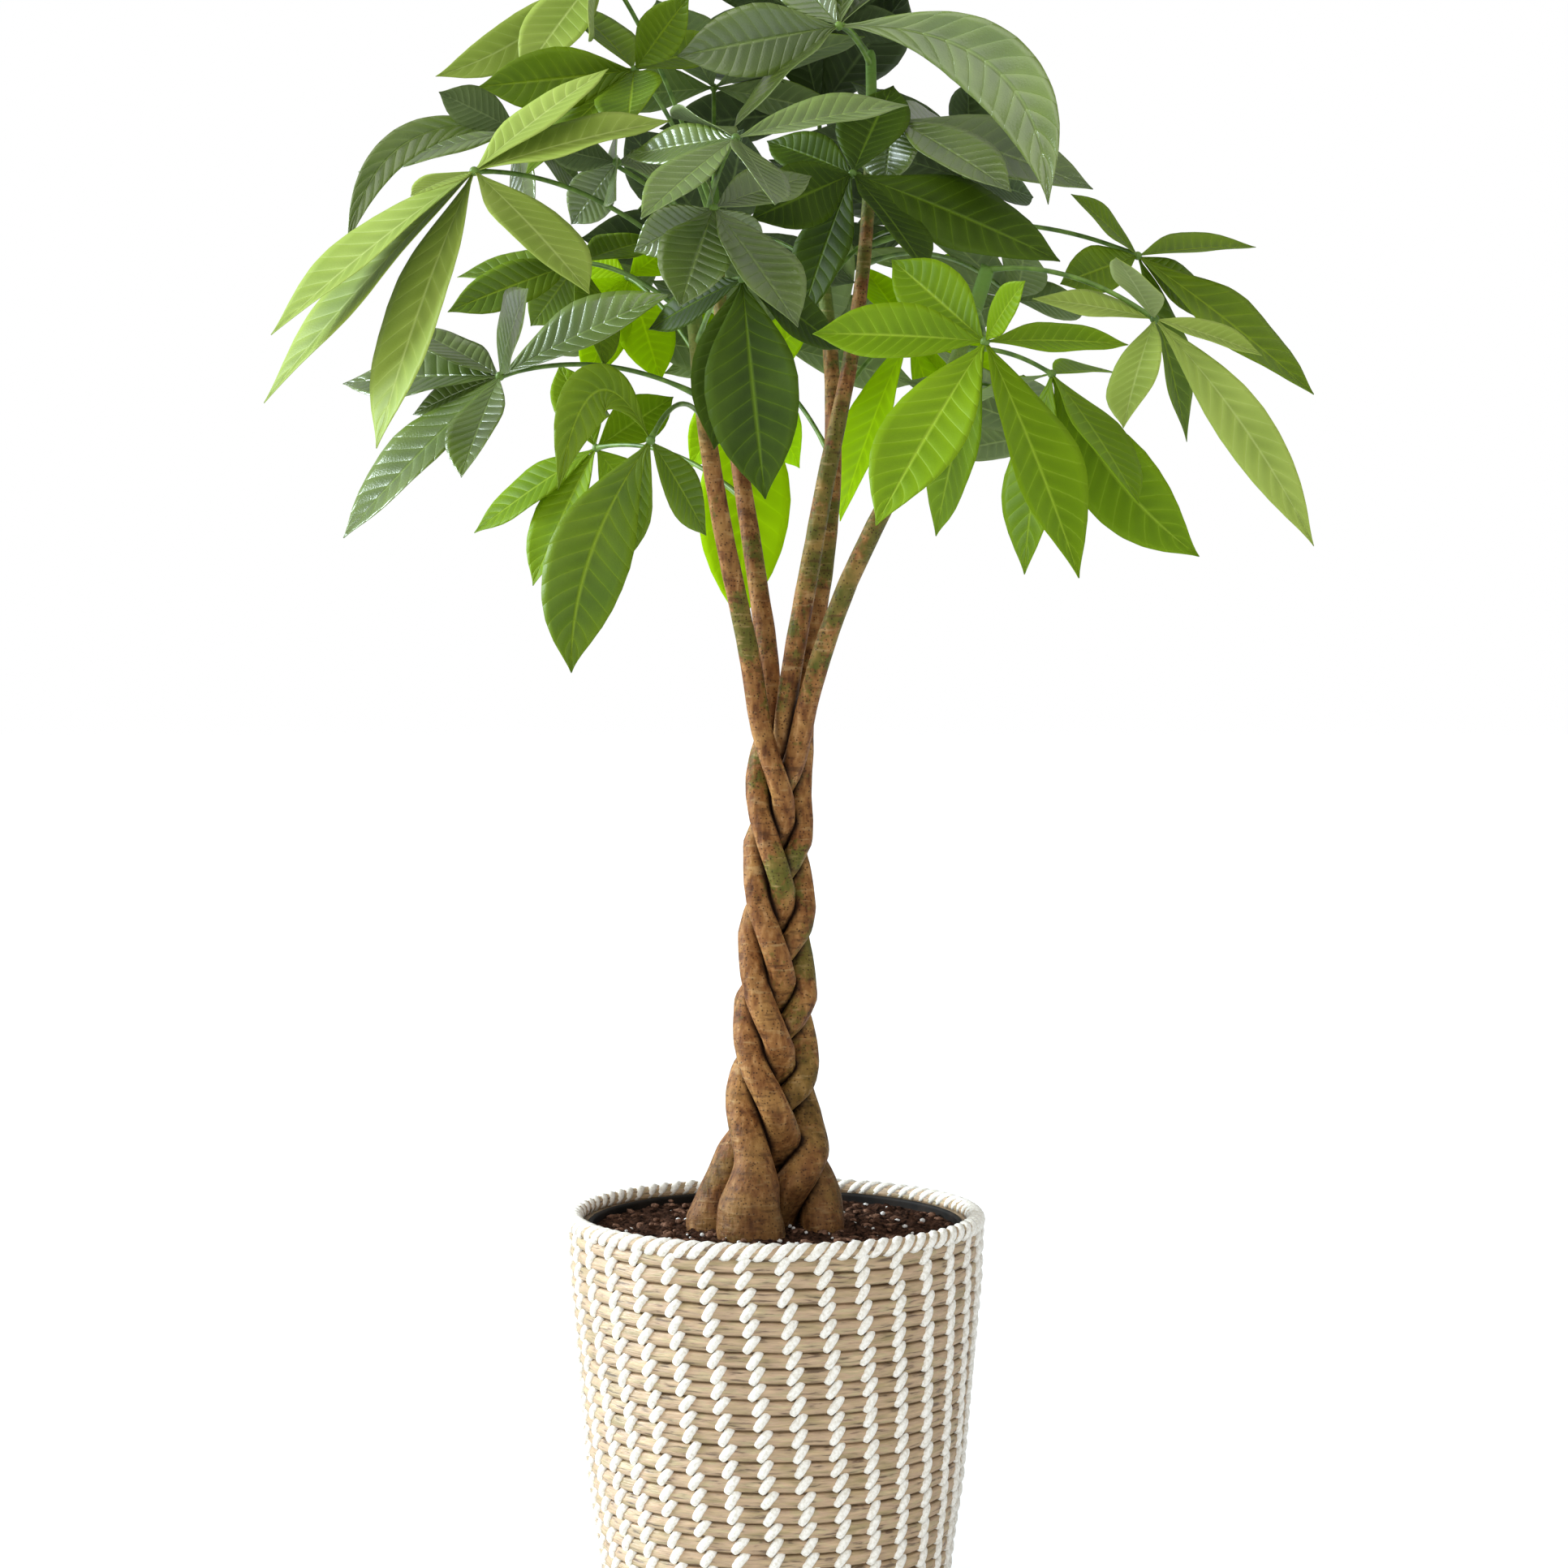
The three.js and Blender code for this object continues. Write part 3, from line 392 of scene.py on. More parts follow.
rng = random.Random(SEWING_SEED)
upright = Vector((0, 0, 1))
sewing = bmesh.new()
for column in range(COLUMNS):
    for coil in range(COIL_COUNT):
        height = COIL_RADIUS + (coil + STITCH_LIFT) * COIL_PITCH
        height = max(height + rng.uniform(-1, 1) * HEIGHT_WANDER, LOWEST_STITCH)
        lean = COLUMN_LEAN * (1 - height / WALL_TOP)
        angle = COLUMN_START + column / COLUMNS * 2 * math.pi + lean
        angle += rng.uniform(-1, 1) * ANGLE_WANDER
        out = Vector((math.cos(angle), math.sin(angle), 0))
        slant = STITCH_SLANT + rng.uniform(-SLANT_WANDER, SLANT_WANDER)
        lengthwise = upright * math.cos(slant) + upright.cross(out) * math.sin(slant)
        turn = Matrix((out.cross(lengthwise), out, lengthwise)).transposed().to_4x4()
        seat = out * (between(BASKET_OUTLINE, height) - STITCH_SEAT) + upright * height
        put(sewing, stitch, Matrix.Translation(seat) @ turn)

one_wrap = bmesh.new()
circle = bmesh.ops.create_circle(one_wrap, cap_ends=True, segments=WRAP_SECTION, radius=RIM_CORD)
section = circle["verts"]
to_start = Matrix.Rotation(-WRAP_START, 3, "Y")
bmesh.ops.scale(one_wrap, vec=RIM_CORD_FLATTENED, verts=section)
bmesh.ops.translate(one_wrap, vec=(RIM_CORE - WRAP_BITE, 0, 0), verts=section)
bmesh.ops.rotate(one_wrap, cent=(0, 0, 0), matrix=to_start, verts=section)
bmesh.ops.spin(
    one_wrap,
    geom=one_wrap.verts[:] + one_wrap.edges[:] + one_wrap.faces[:],
    cent=(0, 0, 0),
    axis=(0, -1, 0),
    angle=WRAP_TURN,
    steps=WRAP_STEPS,
    dvec=(0, WRAP_ADVANCE / WRAP_STEPS, 0),
)
bmesh.ops.recalc_face_normals(one_wrap, faces=one_wrap.faces)
wrap = as_mesh(one_wrap, "wrap")
to_rim = Matrix.Translation((RIM_RADIUS, 0, RIM_HEIGHT))
for number in range(RIM_WRAPS):
    angle = (number + rng.uniform(-WRAP_WANDER, WRAP_WANDER)) / RIM_WRAPS * 2 * math.pi
    put(sewing, wrap, Matrix.Rotation(angle, 4, "Z") @ to_rim)

cord, tree = new_material("white_cord")
plies = fine_noise(tree, object_place(tree), 420.0, 3.0)
shade = ramp(tree, plies, (0.3, (0.66, 0.62, 0.53)), (0.6, (0.87, 0.85, 0.79)))
matt(tree, shade, 0.75, relief(tree, plies, 0.6, CORD_RELIEF))

stitching = piece("basket_sewing", sewing, [cord])
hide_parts("basket_stitching")


# The grow pot: a thin black plastic nursery pot with a rolled lip, which stands inside the basket
# and holds the roots. Only its lip shows, as a dark line between the rim and the soil.
POT_FLOOR = 0.00835
POT_TOP = 0.356
POT_FOOT = 0.122
POT_MOUTH = 0.152
POT_WALL = 0.0025
POT_LIP = 0.0022
POT_STEPS = 96
WELD = 0.00001

lip_turns = [math.radians(degrees) for degrees in range(-30, 211, 30)]
lip = [
    (POT_MOUTH + POT_LIP * (math.cos(turn) - 1), POT_TOP + POT_LIP * (math.sin(turn) - 1))
    for turn in lip_turns
]
pot_outline = [
    (0, POT_FLOOR),
    (POT_FOOT - POT_WALL, POT_FLOOR),
    (POT_FOOT, POT_FLOOR + POT_WALL),
    *lip,
    (POT_FOOT - POT_WALL, POT_FLOOR + POT_WALL),
    (0, POT_FLOOR + POT_WALL),
]
moulded_pot = bmesh.new()
outline = [moulded_pot.verts.new((radius, 0, height)) for radius, height in pot_outline]
for pair in zip(outline, outline[1:]):
    moulded_pot.edges.new(pair)
wind(moulded_pot, POT_STEPS)
bmesh.ops.remove_doubles(moulded_pot, verts=moulded_pot.verts, dist=WELD)

black_plastic, tree = new_material("black_plastic")
dust = fine_noise(tree, object_place(tree), 60.0, 4.0)
dusty_black = ramp(tree, dust, (0.4, (0.006, 0.005, 0.004)), (0.75, (0.02, 0.014, 0.01)))
matt(tree, dusty_black, 0.7, shine=0.15)

nursery_pot = piece("nursery_pot", moulded_pot, [black_plastic])
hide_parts("grow_pot")


# The soil: dark crumbly potting mix filled into the pot, with white grains of perlite and chips of
# bark lying on it.
SOIL_SEED = 8
SOIL_TOP = 0.349
SOIL_RADIUS = 0.1488
SOIL_FOOT = 0.118
SOIL_FLOOR = 0.0116
SOIL_CELLS = 150
SOIL_LUMPS = ((35, 0.0028), (110, 0.0036))
SOIL_GRIT = (260, 0.004)
EDGE_SETTLING = 80
LEAST_CRUMBS = 0.2
SOIL_CHIPS = 220
CHIP_SIZE = (0.006, 0.0034, 0.0022)
SOIL_GRAINS = 90
GRAIN_SIZE = (0.0022, 0.002, 0.0017)
STREWN_SIZES = (0.55, 1.3)
STREWN_REACH = 0.97
STREWN_LIFT = 0.0007
STREWN_TILT = 0.5
GRIT_RELIEF = 0.0015


def crumbs(x, y):
    """Height of the soil's crumbs at a place."""
    spot = Vector((x, y, 0))
    lumps = sum(noise.noise(spot * scale) * height for scale, height in SOIL_LUMPS)
    scale, height = SOIL_GRIT
    return lumps + max(0, noise.noise(spot * scale)) * height


def grainy(name, dark, pale, scale, rough):
    """A crumbly matt finish between two colours."""
    material, tree = new_material(name)
    grit = fine_noise(tree, object_place(tree), scale, 6.0)
    colour = ramp(tree, grit, (0.36, dark), (0.68, pale))
    matt(tree, colour, rough, relief(tree, grit, 1.0, GRIT_RELIEF), shine=0.03)
    return material


def strew(body, count, master, places):
    """Strews copies of a grain over the soil."""
    for _ in range(count):
        angle = places.uniform(0, 2 * math.pi)
        far = SOIL_RADIUS * STREWN_REACH * math.sqrt(places.random())
        x, y = far * math.cos(angle), far * math.sin(angle)
        lay = Matrix.Translation((x, y, SOIL_TOP + crumbs(x, y) + STREWN_LIFT))
        lay @= Matrix.Rotation(places.uniform(0, math.pi), 4, "Z")
        lay @= Matrix.Rotation(places.uniform(-STREWN_TILT, STREWN_TILT), 4, "X")
        put(body, master, lay @ Matrix.Scale(places.uniform(*STREWN_SIZES), 4))


def grain_mesh(size, slot):
    """One grain, of the given half-sizes."""
    grain = bmesh.new()
    bmesh.ops.create_icosphere(grain, subdivisions=1, radius=1)
    bmesh.ops.scale(grain, vec=size, verts=grain.verts)
    for face in grain.faces:
        face.material_index = slot
    return as_mesh(grain, "grain")


mix = bmesh.new()
bmesh.ops.create_grid(mix, x_segments=SOIL_CELLS, y_segments=SOIL_CELLS, size=1)
for vert in mix.verts:
    x = vert.co.x * math.sqrt(1 - vert.co.y**2 / 2) * SOIL_RADIUS
    y = vert.co.y * math.sqrt(1 - vert.co.x**2 / 2) * SOIL_RADIUS
    settled = max(LEAST_CRUMBS, min(1, (SOIL_RADIUS - math.hypot(x, y)) * EDGE_SETTLING))
    vert.co = Vector((x, y, SOIL_TOP + crumbs(x, y) * settled))
border = [edge for edge in mix.edges if edge.is_boundary]
for item in bmesh.ops.extrude_edge_only(mix, edges=border)["geom"]:
    if isinstance(item, bmesh.types.BMVert):
        foot = Vector((item.co.x, item.co.y, 0)).normalized() * SOIL_FOOT
        item.co = foot + Vector((0, 0, SOIL_FLOOR))
bmesh.ops.holes_fill(mix, edges=[edge for edge in mix.edges if edge.is_boundary], sides=0)
bmesh.ops.recalc_face_normals(mix, faces=mix.faces)
rng = random.Random(SOIL_SEED)
strew(mix, SOIL_CHIPS, grain_mesh(CHIP_SIZE, 1), rng)
strew(mix, SOIL_GRAINS, grain_mesh(GRAIN_SIZE, 2), rng)

soil_finishes = [
    grainy("potting_mix", (0.006, 0.003, 0.002), (0.075, 0.036, 0.022), 240.0, 0.95),
    grainy("bark_chips", (0.05, 0.024, 0.014), (0.24, 0.13, 0.085), 300.0, 0.85),
    grainy("perlite", (0.5, 0.48, 0.45), (0.8, 0.79, 0.77), 500.0, 0.8),
]
soil = piece("potting_soil", mix, soil_finishes)
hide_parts("soil")


# The stems: five young trees, each a woody stem with a swollen foot. They are plaited while soft
# and have thickened until they press on one another; above the plait each grows on by itself.
STEMS = ("front_left", "back_left", "front_right", "back_right", "middle")
STEM_STEP = 0.005
STEM_SIDES = 20
STEM_THICKENING = 0.0006
CREASE_SHADE_WIDTH = 0.0065
KNOTS = ((1, 0.06), (3.1, 0.035))
KNOTS_ROUND = 0.7
KNOTS_UP = 16
KNOTS_APART = 9
BOTTOM_CUT = 0.001
TOP_CUT = 0.0005
LEAST_STEP = 0.25
TIP_LENGTH = 0.14
TIP_GREEN = 0.02
TIP_ROUNDING = 0.007
TIP_NARROWING = 0.7
PLAIT_TOP = 0.79
PLAIT_FADE = 0.08
MOSS_THIN_BELOW = 0.45
MOSS_FULL_ABOVE = 0.62
SPLASH_HEIGHT = 0.12
BARK_RELIEF = 0.0018


def merged(node):
    """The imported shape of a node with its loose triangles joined."""
    body = bmesh.new()
    body.from_mesh(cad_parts[node].data)
    bmesh.ops.remove_doubles(body, verts=body.verts, dist=WELD)
    return body


def cross_section(body, height):
    """Middle and radius of a stem at a height; what is below the height is cut away."""
    everything = body.verts[:] + body.edges[:] + body.faces[:]
    cut = bmesh.ops.bisect_plane(
        body, geom=everything, plane_co=(0, 0, height), plane_no=(0, 0, 1), clear_inner=True
    )["geom_cut"]
    edges = [item for item in cut if isinstance(item, bmesh.types.BMEdge)]
    girth = sum(edge.calc_length() for edge in edges)
    middle = sum(((e.verts[0].co + e.verts[1].co) * e.calc_length() for e in edges), Vector())
    return middle / (2 * girth), girth / (2 * math.pi)


def tube(body, stations, sides):
    """A closed round tube through stations of middle, two crosswise directions and radii."""
    disc = bmesh.ops.create_circle(body, cap_ends=True, segments=sides, radius=1)["verts"]
    ring = sorted(disc, key=lambda vert: math.atan2(vert.co.y, vert.co.x) % (2 * math.pi))
    edges = list({edge for vert in ring for edge in vert.link_edges})
    for number, (middle, across, up, radii) in enumerate(stations):
        if number:
            added = bmesh.ops.extrude_edge_only(body, edges=edges)["geom"]
            fresh = {item for item in added if isinstance(item, bmesh.types.BMVert)}
            ring = [
                next(e.other_vert(vert) for e in vert.link_edges if e.other_vert(vert) in fresh)
                for vert in ring
            ]
            drawn = [item for item in added if isinstance(item, bmesh.types.BMEdge)]
            edges = [edge for edge in drawn if fresh.issuperset(edge.verts)]
        for side, vert in enumerate(ring):
            turn = 2 * math.pi * side / sides
            vert.co = middle + (across * math.cos(turn) + up * math.sin(turn)) * radii[side]
    body.faces.new(ring)
    bmesh.ops.recalc_face_normals(body, faces=body.faces)


def crease_shade_depth(name, spot):
    """How deep a spot on a stem lies in the fold by another stem, 0 to 1, for painted shade."""
    deepest = 0.0
    for other, stations in grown.items():
        level = round((spot.z - stations[0][0].z) / STEM_STEP)
        if other != name and 0 <= level < len(stations):
            middle, _, _, radii = stations[level]
            gap = math.hypot(spot.x - middle.x, spot.y - middle.y) - sum(radii) / STEM_SIDES
            deepest = max(deepest, min(1, 1 - gap / CREASE_SHADE_WIDTH))
    return deepest


def patchy(tree, value, none_at, full_at, share):
    """Up to a share of something, where a value passes from one mark to another."""
    stops = sorted(((none_at, (0, 0, 0)), (full_at, (1, 1, 1))))
    return maths(tree, "MULTIPLY", ramp(tree, value, *stops), share)


# Brown bark with long streaks, leaf scars across it, freckles, moss on the side away from the
# window, splashes of soil near its foot, green young wood at its tip and painted shade in creases.
bark, tree = new_material("bark")
place = object_place(tree)
lengthwise = add(tree, "ShaderNodeMapping", {"Vector": place, "Scale": (1, 1, 0.35)}).outputs[0]
streaks = fine_noise(tree, lengthwise, 190.0, 8.0)
squeezed = add(tree, "ShaderNodeMapping", {"Vector": place, "Scale": (1, 1, 4.5)}).outputs[0]
scars = fine_noise(tree, squeezed, 48.0, 4.0)
spot = add(tree, "ShaderNodeSeparateXYZ", {0: place}).outputs
patches = fine_noise(tree, place, 19.0, 4.0)
mottle = fine_noise(tree, place, 42.0, 5.0)
specks = add(tree, "ShaderNodeTexVoronoi", {"Vector": place, "Scale": 330.0}).outputs["Distance"]
ground = ramp(
    tree,
    streaks,
    (0.3, (0.085, 0.028, 0.007)),
    (0.44, (0.185, 0.072, 0.02)),
    (0.58, (0.27, 0.12, 0.035)),
    (0.72, (0.4, 0.21, 0.08)),
)
shade_side = maths(tree, "MULTIPLY_ADD", spot["X"], 1.5, patches)
clumps = maths(tree, "MULTIPLY_ADD", fine_noise(tree, place, 260.0, 4.0), 0.3, shade_side)
moss_cover = fade(tree, spot["Z"], MOSS_THIN_BELOW, MOSS_FULL_ABOVE, 0.3, 0.75)
mossy = patchy(tree, clumps, 0.67, 0.75, moss_cover)
olive = blend(tree, mossy, ground, (0.075, 0.1, 0.012))
golden = blend(tree, patchy(tree, mottle, 0.5, 0.68, 0.55), olive, (0.4, 0.22, 0.065))
scarred = blend(tree, patchy(tree, scars, 0.59, 0.7, 0.45), golden, (0.46, 0.3, 0.13))
cracked = blend(tree, patchy(tree, scars, 0.42, 0.33, 0.6), scarred, (0.07, 0.028, 0.009))
freckled = blend(tree, patchy(tree, specks, 0.3, 0.18, 0.8), cracked, (0.04, 0.016, 0.005))
splash = fade(tree, spot["Z"], SOIL_TOP, SOIL_TOP + SPLASH_HEIGHT, 0.45, 0.0)
soiled = blend(tree, splash, freckled, (0.06, 0.03, 0.012))
young = add(tree, "ShaderNodeAttribute", {}, attribute_name="young").outputs["Fac"]
greened = blend(tree, young, soiled, (0.1, 0.19, 0.03))
# Painted shade: the bark turns near black where it lies deep between two stems.
pressed = add(tree, "ShaderNodeAttribute", {}, attribute_name="crease_shade").outputs["Fac"]
painted_crease_shade = fade(tree, pressed, 0.12, 0.75, 0.0, 1.0)
bark_colour = blend(tree, painted_crease_shade, greened, (0.018, 0.007, 0.003))
bark_height = maths(tree, "ADD", streaks, maths(tree, "MULTIPLY_ADD", mottle, 0.9, scars))
matt(tree, bark_colour, 0.6, relief(tree, bark_height, 0.8, BARK_RELIEF), shine=0.15)

grown = {}
for number, name in enumerate(STEMS):
    packed = merged(f"stem_{name}")
    low = min(vert.co.z for vert in packed.verts) + BOTTOM_CUT
    high = max(vert.co.z for vert in packed.verts) - TOP_CUT
    levels = math.ceil((high - low) / STEM_STEP - LEAST_STEP)
    stations = []
    for height in [low + step * STEM_STEP for step in range(levels)] + [high]:
        middle, radius = cross_section(packed, height)
        radius += STEM_THICKENING * min(1, max(0, (PLAIT_TOP - height) / PLAIT_FADE))
        rounding = min(1, (high - height) / TIP_ROUNDING)
        radius *= math.sqrt(1 - TIP_NARROWING * (1 - rounding) ** 2)
        radii = []
        for side in range(STEM_SIDES):
            turn = 2 * math.pi * side / STEM_SIDES
            along = height * KNOTS_UP + number * KNOTS_APART
            spot = Vector((math.cos(turn) * KNOTS_ROUND, math.sin(turn) * KNOTS_ROUND, along))
            knots = sum(noise.noise(spot * scale) * depth for scale, depth in KNOTS)
            radii.append(radius * (1 + knots))
        stations.append((middle, Vector((1, 0, 0)), Vector((0, 1, 0)), radii))
    packed.free()
    grown[name] = stations

for name, stations in grown.items():
    wood = bmesh.new()
    tube(wood, stations, STEM_SIDES)
    # Each vertex keeps how deep it lies between two stems, for the painted shade there.
    crease_shade = wood.verts.layers.float.new("crease_shade")
    young = wood.verts.layers.float.new("young")
    top = stations[-1][0].z
    for vert in wood.verts:
        vert[crease_shade] = crease_shade_depth(name, vert.co)
        vert[young] = min(1, max(0, 1 - (top - TIP_GREEN - vert.co.z) / TIP_LENGTH))
    trunk = piece(f"trunk_{name}", wood, [bark])
    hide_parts(f"stem_{name}")


# The leaves: each is a long green stalk with a knuckle at its end, from which leaflets spread like
# fingers. A leaflet is thin and waxy, folded a little along its rib, and quilted between its veins.
LEAF_SEED = 100
BLADE_OUTLINE = (
    (0, 0.03),
    (0.05, 0.09),
    (0.12, 0.28),
    (0.2, 0.5),
    (0.3, 0.75),
    (0.4, 0.93),
    (0.5, 1.0),
    (0.6, 0.97),
    (0.7, 0.86),
    (0.79, 0.67),
    (0.87, 0.43),
    (0.93, 0.21),
    (0.97, 0.08),
    (1, 0.01),
)
BLADE_ACROSS = 10
BLADE_ALONG = 38
BLADE_THICKNESS = 0.0005
WAX_COAT = 0.6
LEAST_WAX = 0.3
UNDER_DEPTH = 0.7
UNDER_PALENESS = 0.25
UNDER_ROUGH = 0.6
UNDER_SHINE = 0.3
INNER_RING = 0.48
OUTER_RING = 0.82
BLADE_FOLD = 0.17
FOLD_CURVE = 1.4
VEIN_PAIRS = 13
VEIN_SLOPE = 0.12
QUILT = 0.0006
QUILT_FADE = 0.012
RIPPLES = 11
RIPPLE_HEIGHTS = (0.03, 0.08)
CURL = 0.12
LEAST_WIDTH = 0.007
LEAST_GAP = 0.006
STALK_SIDES = 8
STALK_STEPS = 24
STALK_RADIUS = 0.0019
STALK_ROOT_SWELL = (0.6, 6)
STALK_END_SWELL = (0.45, 14)
STALK_RING_SPAN = 0.0075
STALK_SIDEWAYS = Vector((0.1, 1, 0.1))
KNUCKLE = 0.0036
KNUCKLE_AROUND = 10
KNUCKLE_UP = 8
KNUCKLE_REACH = 0.014


def bowed(start, middle, end, share):
    """A place on a bow between two ends."""
    return start * (1 - share) ** 2 + middle * 2 * share * (1 - share) + end * share**2


def heading(start, middle, end, share):
    """The way that a bow runs at a place on it."""
    return ((middle - start) * (1 - share) + (end - middle) * share).normalized()


def neighbours(verts):
    """The vertices next to these."""
    return {edge.other_vert(vert) for vert in verts for edge in vert.link_edges} - set(verts)


def leaflet_tips(body):
    """Each packed leaflet's tip, with its two outer rings of four vertices."""
    for tip in body.verts:
        near = neighbours([tip])
        if len(near) != 4 or len(tip.link_faces) != 4:
            continue
        widest = max((a.co - b.co).length for a in near for b in near)
        gap = sum((tip.co - vert.co).length for vert in near) / 4
        further = neighbours(near) - {tip}
        if widest > LEAST_WIDTH and gap > LEAST_GAP and len(further) == 4:
            yield tip, near, further


def rib_and_edges(ring):
    """A ring's place on the rib, its width, and the ways its edge and upper face look."""
    pairs = ((a, b) for a in ring for b in ring)
    left, right = max(pairs, key=lambda pair: (pair[0].co - pair[1].co).length)
    middle = sum((vert.co for vert in ring if vert not in (left, right)), Vector()) / 2
    raised = (left.co + right.co) / 2 - middle
    across = left.co - right.co
    return middle, across.length, across.normalized(), raised.normalized()


def packed_leaflet(tip, near, further):
    """A packed leaflet's rib as a bowed line, with its half-width and the way it lies."""
    end = tip.co.copy()
    outer = rib_and_edges(near)[0] - end * OUTER_RING**2
    inner, width, across, up = rib_and_edges(further)
    inner -= end * INNER_RING**2
    from_start = [(1 - share) ** 2 for share in (INNER_RING, OUTER_RING)]
    from_middle = [2 * share * (1 - share) for share in (INNER_RING, OUTER_RING)]
    both = from_start[0] * from_middle[1] - from_start[1] * from_middle[0]
    middle = (outer * from_start[0] - inner * from_start[1]) / both
    start = (inner * from_middle[1] - outer * from_middle[0]) / both
    if heading(start, middle, end, INNER_RING).cross(up).dot(across) < 0:
        across = -across
    return start, middle, end, across, width / 2


def stalk_line(body, blades, hub):
    """A stalk's root and bow, solved from its packed rings a third and two thirds along it."""
    groups = []
    for vert in body.verts:
        if vert in blades or (vert.co - hub).length < KNUCKLE_REACH:
            continue
        near = (group for group in groups if (group[0].co - vert.co).length < STALK_RING_SPAN)
        home = next(near, None)
        if home:
            home.append(vert)
        else:
            groups.append([vert])
    middles = [sum((vert.co for vert in group), Vector()) / len(group) for group in groups]
    rings = [middle for middle, group in zip(middles, groups) if len(group) == 4]
    rings.sort(key=lambda middle: (middle - hub).length)
    if len(rings) < 2:
        return middles[0], (middles[0] + hub) / 2
    root = hub + (rings[1] - rings[0]) * 3
    return root, (rings[0] * 9 - root - hub * 4) / 4


def grow_blade(body, hub, leaflet, draw):
    """A leaflet's blade: a grid laid along its rib, then folded, quilted and waved."""
    start, middle, end, sideways, half = leaflet
    middle = middle + (hub - start) / 2
    flat = bmesh.ops.create_grid(body, x_segments=BLADE_ACROSS, y_segments=BLADE_ALONG, size=1)
    grid = flat["verts"]
    phase = draw.uniform(0, 2 * math.pi)
    wave = draw.uniform(*RIPPLE_HEIGHTS) * half
    curl = draw.uniform(-CURL, CURL)
    tone = draw.uniform(0, 1)
    uv_map = body.loops.layers.uv["UVMap"]
    tones = body.faces.layers.float["tone"]
    for face in {face for vert in grid for face in vert.link_faces}:
        face[tones] = tone
        for loop in face.loops:
            loop[uv_map].uv = (loop.vert.co.x / 2 + 0.5, loop.vert.co.y / 2 + 0.5)
    for vert in grid:
        side, share = vert.co.x, 0.5 + vert.co.y / 2
        out = abs(side)
        ahead = heading(hub, middle, end, share)
        across = (sideways - ahead * sideways.dot(ahead)).normalized()
        wide = half * between(BLADE_OUTLINE, share)
        puff = abs(math.sin(math.pi * (share - VEIN_SLOPE * out) * VEIN_PAIRS))
        puff *= QUILT * math.sin(math.pi * out) * min(1, wide / QUILT_FADE)
        ripple = math.sin(share * RIPPLES + phase + side) * wave * out**2 * wide / half
        lift = wide * (BLADE_FOLD * out**FOLD_CURVE + curl * out**2) + puff + ripple
        vert.co = bowed(hub, middle, end, share) + across * wide * side + across.cross(ahead) * lift


def leaf_skin(name, deep, pale, glow, rough, shine, through, raised, under):
    """Leaf tissue: quilted between its veins, shiny with wax above, lit through from behind."""
    material, tree = new_material(name)
    on_blade = add(tree, "ShaderNodeSeparateXYZ", {0: add(tree, "ShaderNodeUVMap", {}).outputs[0]})
    out = maths(tree, "ABSOLUTE", maths(tree, "MULTIPLY_ADD", on_blade.outputs["X"], 2.0, -1.0))
    slanted = maths(tree, "MULTIPLY_ADD", out, -VEIN_SLOPE, on_blade.outputs["Y"])
    wave = maths(tree, "SINE", maths(tree, "MULTIPLY", slanted, VEIN_PAIRS * math.pi))
    puff = maths(tree, "ABSOLUTE", wave)
    rib = fade(tree, out, 0.0, 0.07, 1.0, 0.0)
    lines = maths(tree, "MAXIMUM", fade(tree, puff, 0.0, 0.2, 0.5, 0.0), rib)
    place = object_place(tree)
    cloud = patchy(tree, fine_noise(tree, place, 22.0, 4.0), 0.34, 0.66, 0.5)
    tone = add(tree, "ShaderNodeAttribute", {}, attribute_name="tone").outputs["Fac"]
    mixed = maths(tree, "MULTIPLY_ADD", tone, 0.5, cloud)
    hollow = maths(tree, "MULTIPLY", puff, maths(tree, "SUBTRACT", 1.0, out))
    dim = tuple(0.55 * part for part in deep)
    middle = blend(tree, maths(tree, "MULTIPLY", hollow, 0.5), blend(tree, mixed, deep, pale), dim)
    veined = blend(tree, maths(tree, "MULTIPLY", lines, 0.7), middle, glow)
    colour = blend(tree, fade(tree, out, 0.75, 1.0, 0.0, 0.6), veined, pale)
    swell = maths(tree, "SUBTRACT", maths(tree, "POWER", puff, 0.5), rib)
    cells = {"Vector": place, "Scale": 420.0}
    net = add(tree, "ShaderNodeTexVoronoi", cells, feature="DISTANCE_TO_EDGE").outputs["Distance"]
    swell = maths(tree, "MULTIPLY_ADD", net, 0.25, swell)
    bumps = {"Height": swell, "Strength": 0.8, "Distance": raised}
    normal = add(tree, "ShaderNodeBump", bumps, invert=under).outputs[0]
    wax = {"Base Color": colour, "Normal": normal, "Roughness": rough}
    wax["Specular IOR Level"] = shine
    wax["Coat Weight"] = WAX_COAT * max(0, shine - LEAST_WAX)
    wax["Coat Roughness"] = 0.22
    face = add(tree, "ShaderNodeBsdfPrincipled", wax).outputs[0]
    lit = {"Color": blend(tree, 0.6, colour, glow), "Normal": normal}
    back = add(tree, "ShaderNodeBsdfTranslucent", lit).outputs[0]
    skin = add(tree, "ShaderNodeMixShader", {0: through, 1: face, 2: back})
    add(tree, "ShaderNodeOutputMaterial", {"Surface": skin.outputs[0]})
    return material


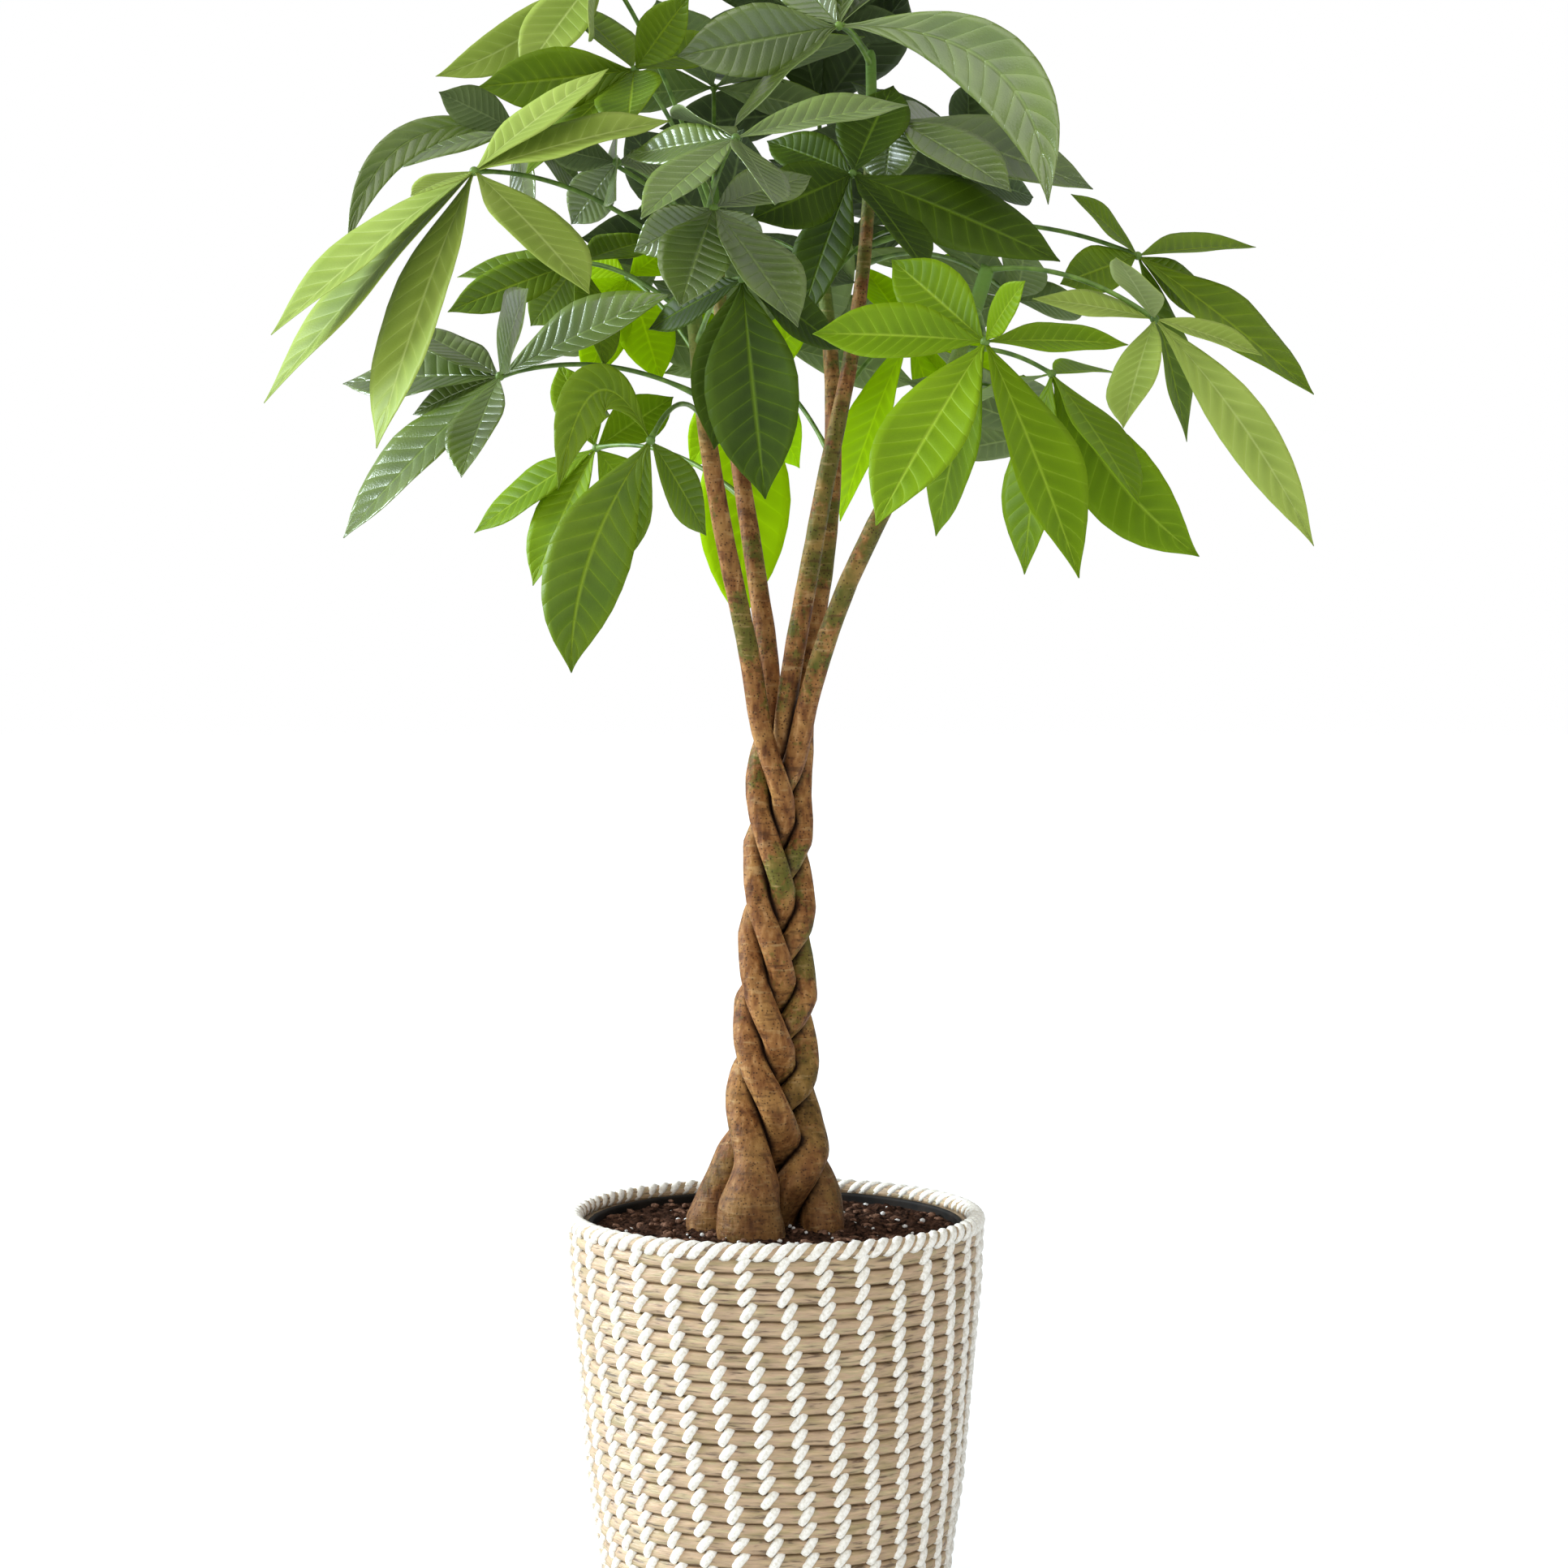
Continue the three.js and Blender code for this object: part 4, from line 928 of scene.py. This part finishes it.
# Each finish: its deep, pale and see-through colours, then its roughness, its shine, the light it
# lets through and the depth of its veins.
LEAF_FINISHES = {
    # Painted shade: the shaded finish is the leaf green darkened, for leaves that lie in shade.
    "shaded": (
        ((0.022, 0.048, 0.002), (0.075, 0.135, 0.004), (0.15, 0.25, 0.01)),
        (0.5, 0.15, 0.22, 0.0007),
    ),
    # Partly painted sheen: this finish's greyer, paler colours stand in for light glancing off the
    # wax; its gloss and coat are real.
    "waxy": (
        ((0.065, 0.12, 0.008), (0.2, 0.29, 0.04), (0.27, 0.39, 0.07)),
        (0.3, 1.0, 0.2, 0.001),
    ),
    "green": (
        ((0.085, 0.16, 0.004), (0.2, 0.31, 0.008), (0.32, 0.46, 0.02)),
        (0.45, 0.25, 0.32, 0.0008),
    ),
    "bright": (
        ((0.15, 0.27, 0.003), (0.25, 0.4, 0.006), (0.45, 0.62, 0.05)),
        (0.45, 0.15, 0.38, 0.0006),
    ),
    "young": (
        ((0.27, 0.38, 0.045), (0.42, 0.53, 0.1), (0.55, 0.65, 0.2)),
        (0.5, 0.3, 0.3, 0.0006),
    ),
    # Painted light: the lit finish is the leaf green lightened, for leaves that light shines
    # through from behind.
    "lit": (
        ((0.31, 0.52, 0.0015), (0.45, 0.68, 0.003), (0.6, 0.84, 0.006)),
        (0.5, 0.05, 0.58, 0.0005),
    ),
}
LEAF_KINDS = {
    "waxy": ("crown", "glossy_centre", "upper_right", "left", "far_left", "small_left", "centre"),
    "green": ("upper_left", "right", "middle_left", "lower_left"),
    "bright": ("light_lower_right", "bright_left", "lower_right"),
    "young": ("light_upper_left", "light_right", "top_left"),
    "lit": ("behind_fork", "bright_right", "bright_middle"),
}
kind_of = {f"leaf_{name}": kind for kind, names in LEAF_KINDS.items() for name in names}
blade_materials = {}
for kind, (shades, (rough, shine, through, raised)) in LEAF_FINISHES.items():
    dull = [
        tuple(UNDER_DEPTH * part + UNDER_PALENESS * max(shade) for part in shade)
        for shade in shades
    ]
    blade_materials[kind] = [
        leaf_skin(f"leaf_{kind}", *shades, rough, shine, through, raised, False),
        leaf_skin(f"leaf_{kind}_under", *dull, UNDER_ROUGH, UNDER_SHINE, through, raised, True),
    ]
stalk_green, tree = new_material("leaf_stalk")
blotches = fine_noise(tree, object_place(tree), 90.0, 3.0)
matt(tree, ramp(tree, blotches, (0.35, (0.06, 0.12, 0.015)), (0.7, (0.16, 0.27, 0.04))), 0.42)

wood_middles = [middle for stations in grown.values() for middle, *_ in stations]
leaf_nodes = sorted(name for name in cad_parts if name.startswith("leaf_"))
for number, node in enumerate(leaf_nodes):
    draw = random.Random(LEAF_SEED + number)
    packed = merged(node)
    tips = list(leaflet_tips(packed))
    leaflets = [packed_leaflet(*found) for found in tips]
    hub = sum((leaflet[0] for leaflet in leaflets), Vector()) / len(leaflets)
    blades = set()
    for tip, near, further in tips:
        blades |= {tip} | near | further | neighbours(further)

    green = bmesh.new()
    green.loops.layers.uv.new("UVMap")
    green.faces.layers.float.new("tone")
    for leaflet in leaflets:
        grow_blade(green, hub, leaflet, draw)
    # A leaf not listed takes the shaded finish, painted shade; every other leaf on the far side
    # takes the green one.
    plain = "green" if node.startswith("leaf_far_side") and number % 2 else "shaded"
    kind = kind_of.get(node, plain)
    leaf = piece(node.replace("leaf", "foliage"), green, blade_materials[kind])
    thickness = leaf.modifiers.new("thickness", "SOLIDIFY")
    thickness.thickness = BLADE_THICKNESS
    thickness.offset = 0
    thickness.material_offset = 1
    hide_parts(node)

    root, bow = stalk_line(packed, blades, hub)
    packed.free()
    root = min(wood_middles, key=lambda middle: (middle - root).length)
    across = heading(root, bow, hub, 0).cross(STALK_SIDEWAYS)
    stations = []
    for step in range(STALK_STEPS + 1):
        share = step / STALK_STEPS
        ahead = heading(root, bow, hub, share)
        across = (across - ahead * across.dot(ahead)).normalized()
        swollen = 1 + STALK_ROOT_SWELL[0] * max(0, 1 - share * STALK_ROOT_SWELL[1])
        swollen += STALK_END_SWELL[0] * max(0, 1 - (1 - share) * STALK_END_SWELL[1])
        radii = [STALK_RADIUS * swollen] * STALK_SIDES
        stations.append((bowed(root, bow, hub, share), across, ahead.cross(across), radii))
    stem = bmesh.new()
    tube(stem, stations, STALK_SIDES)
    knuckle = bmesh.ops.create_uvsphere(
        stem, u_segments=KNUCKLE_AROUND, v_segments=KNUCKLE_UP, radius=KNUCKLE
    )
    bmesh.ops.translate(stem, vec=hub, verts=knuckle["verts"])
    stalk = piece(node.replace("leaf", "stalk"), stem, [stalk_green])
    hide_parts(node)
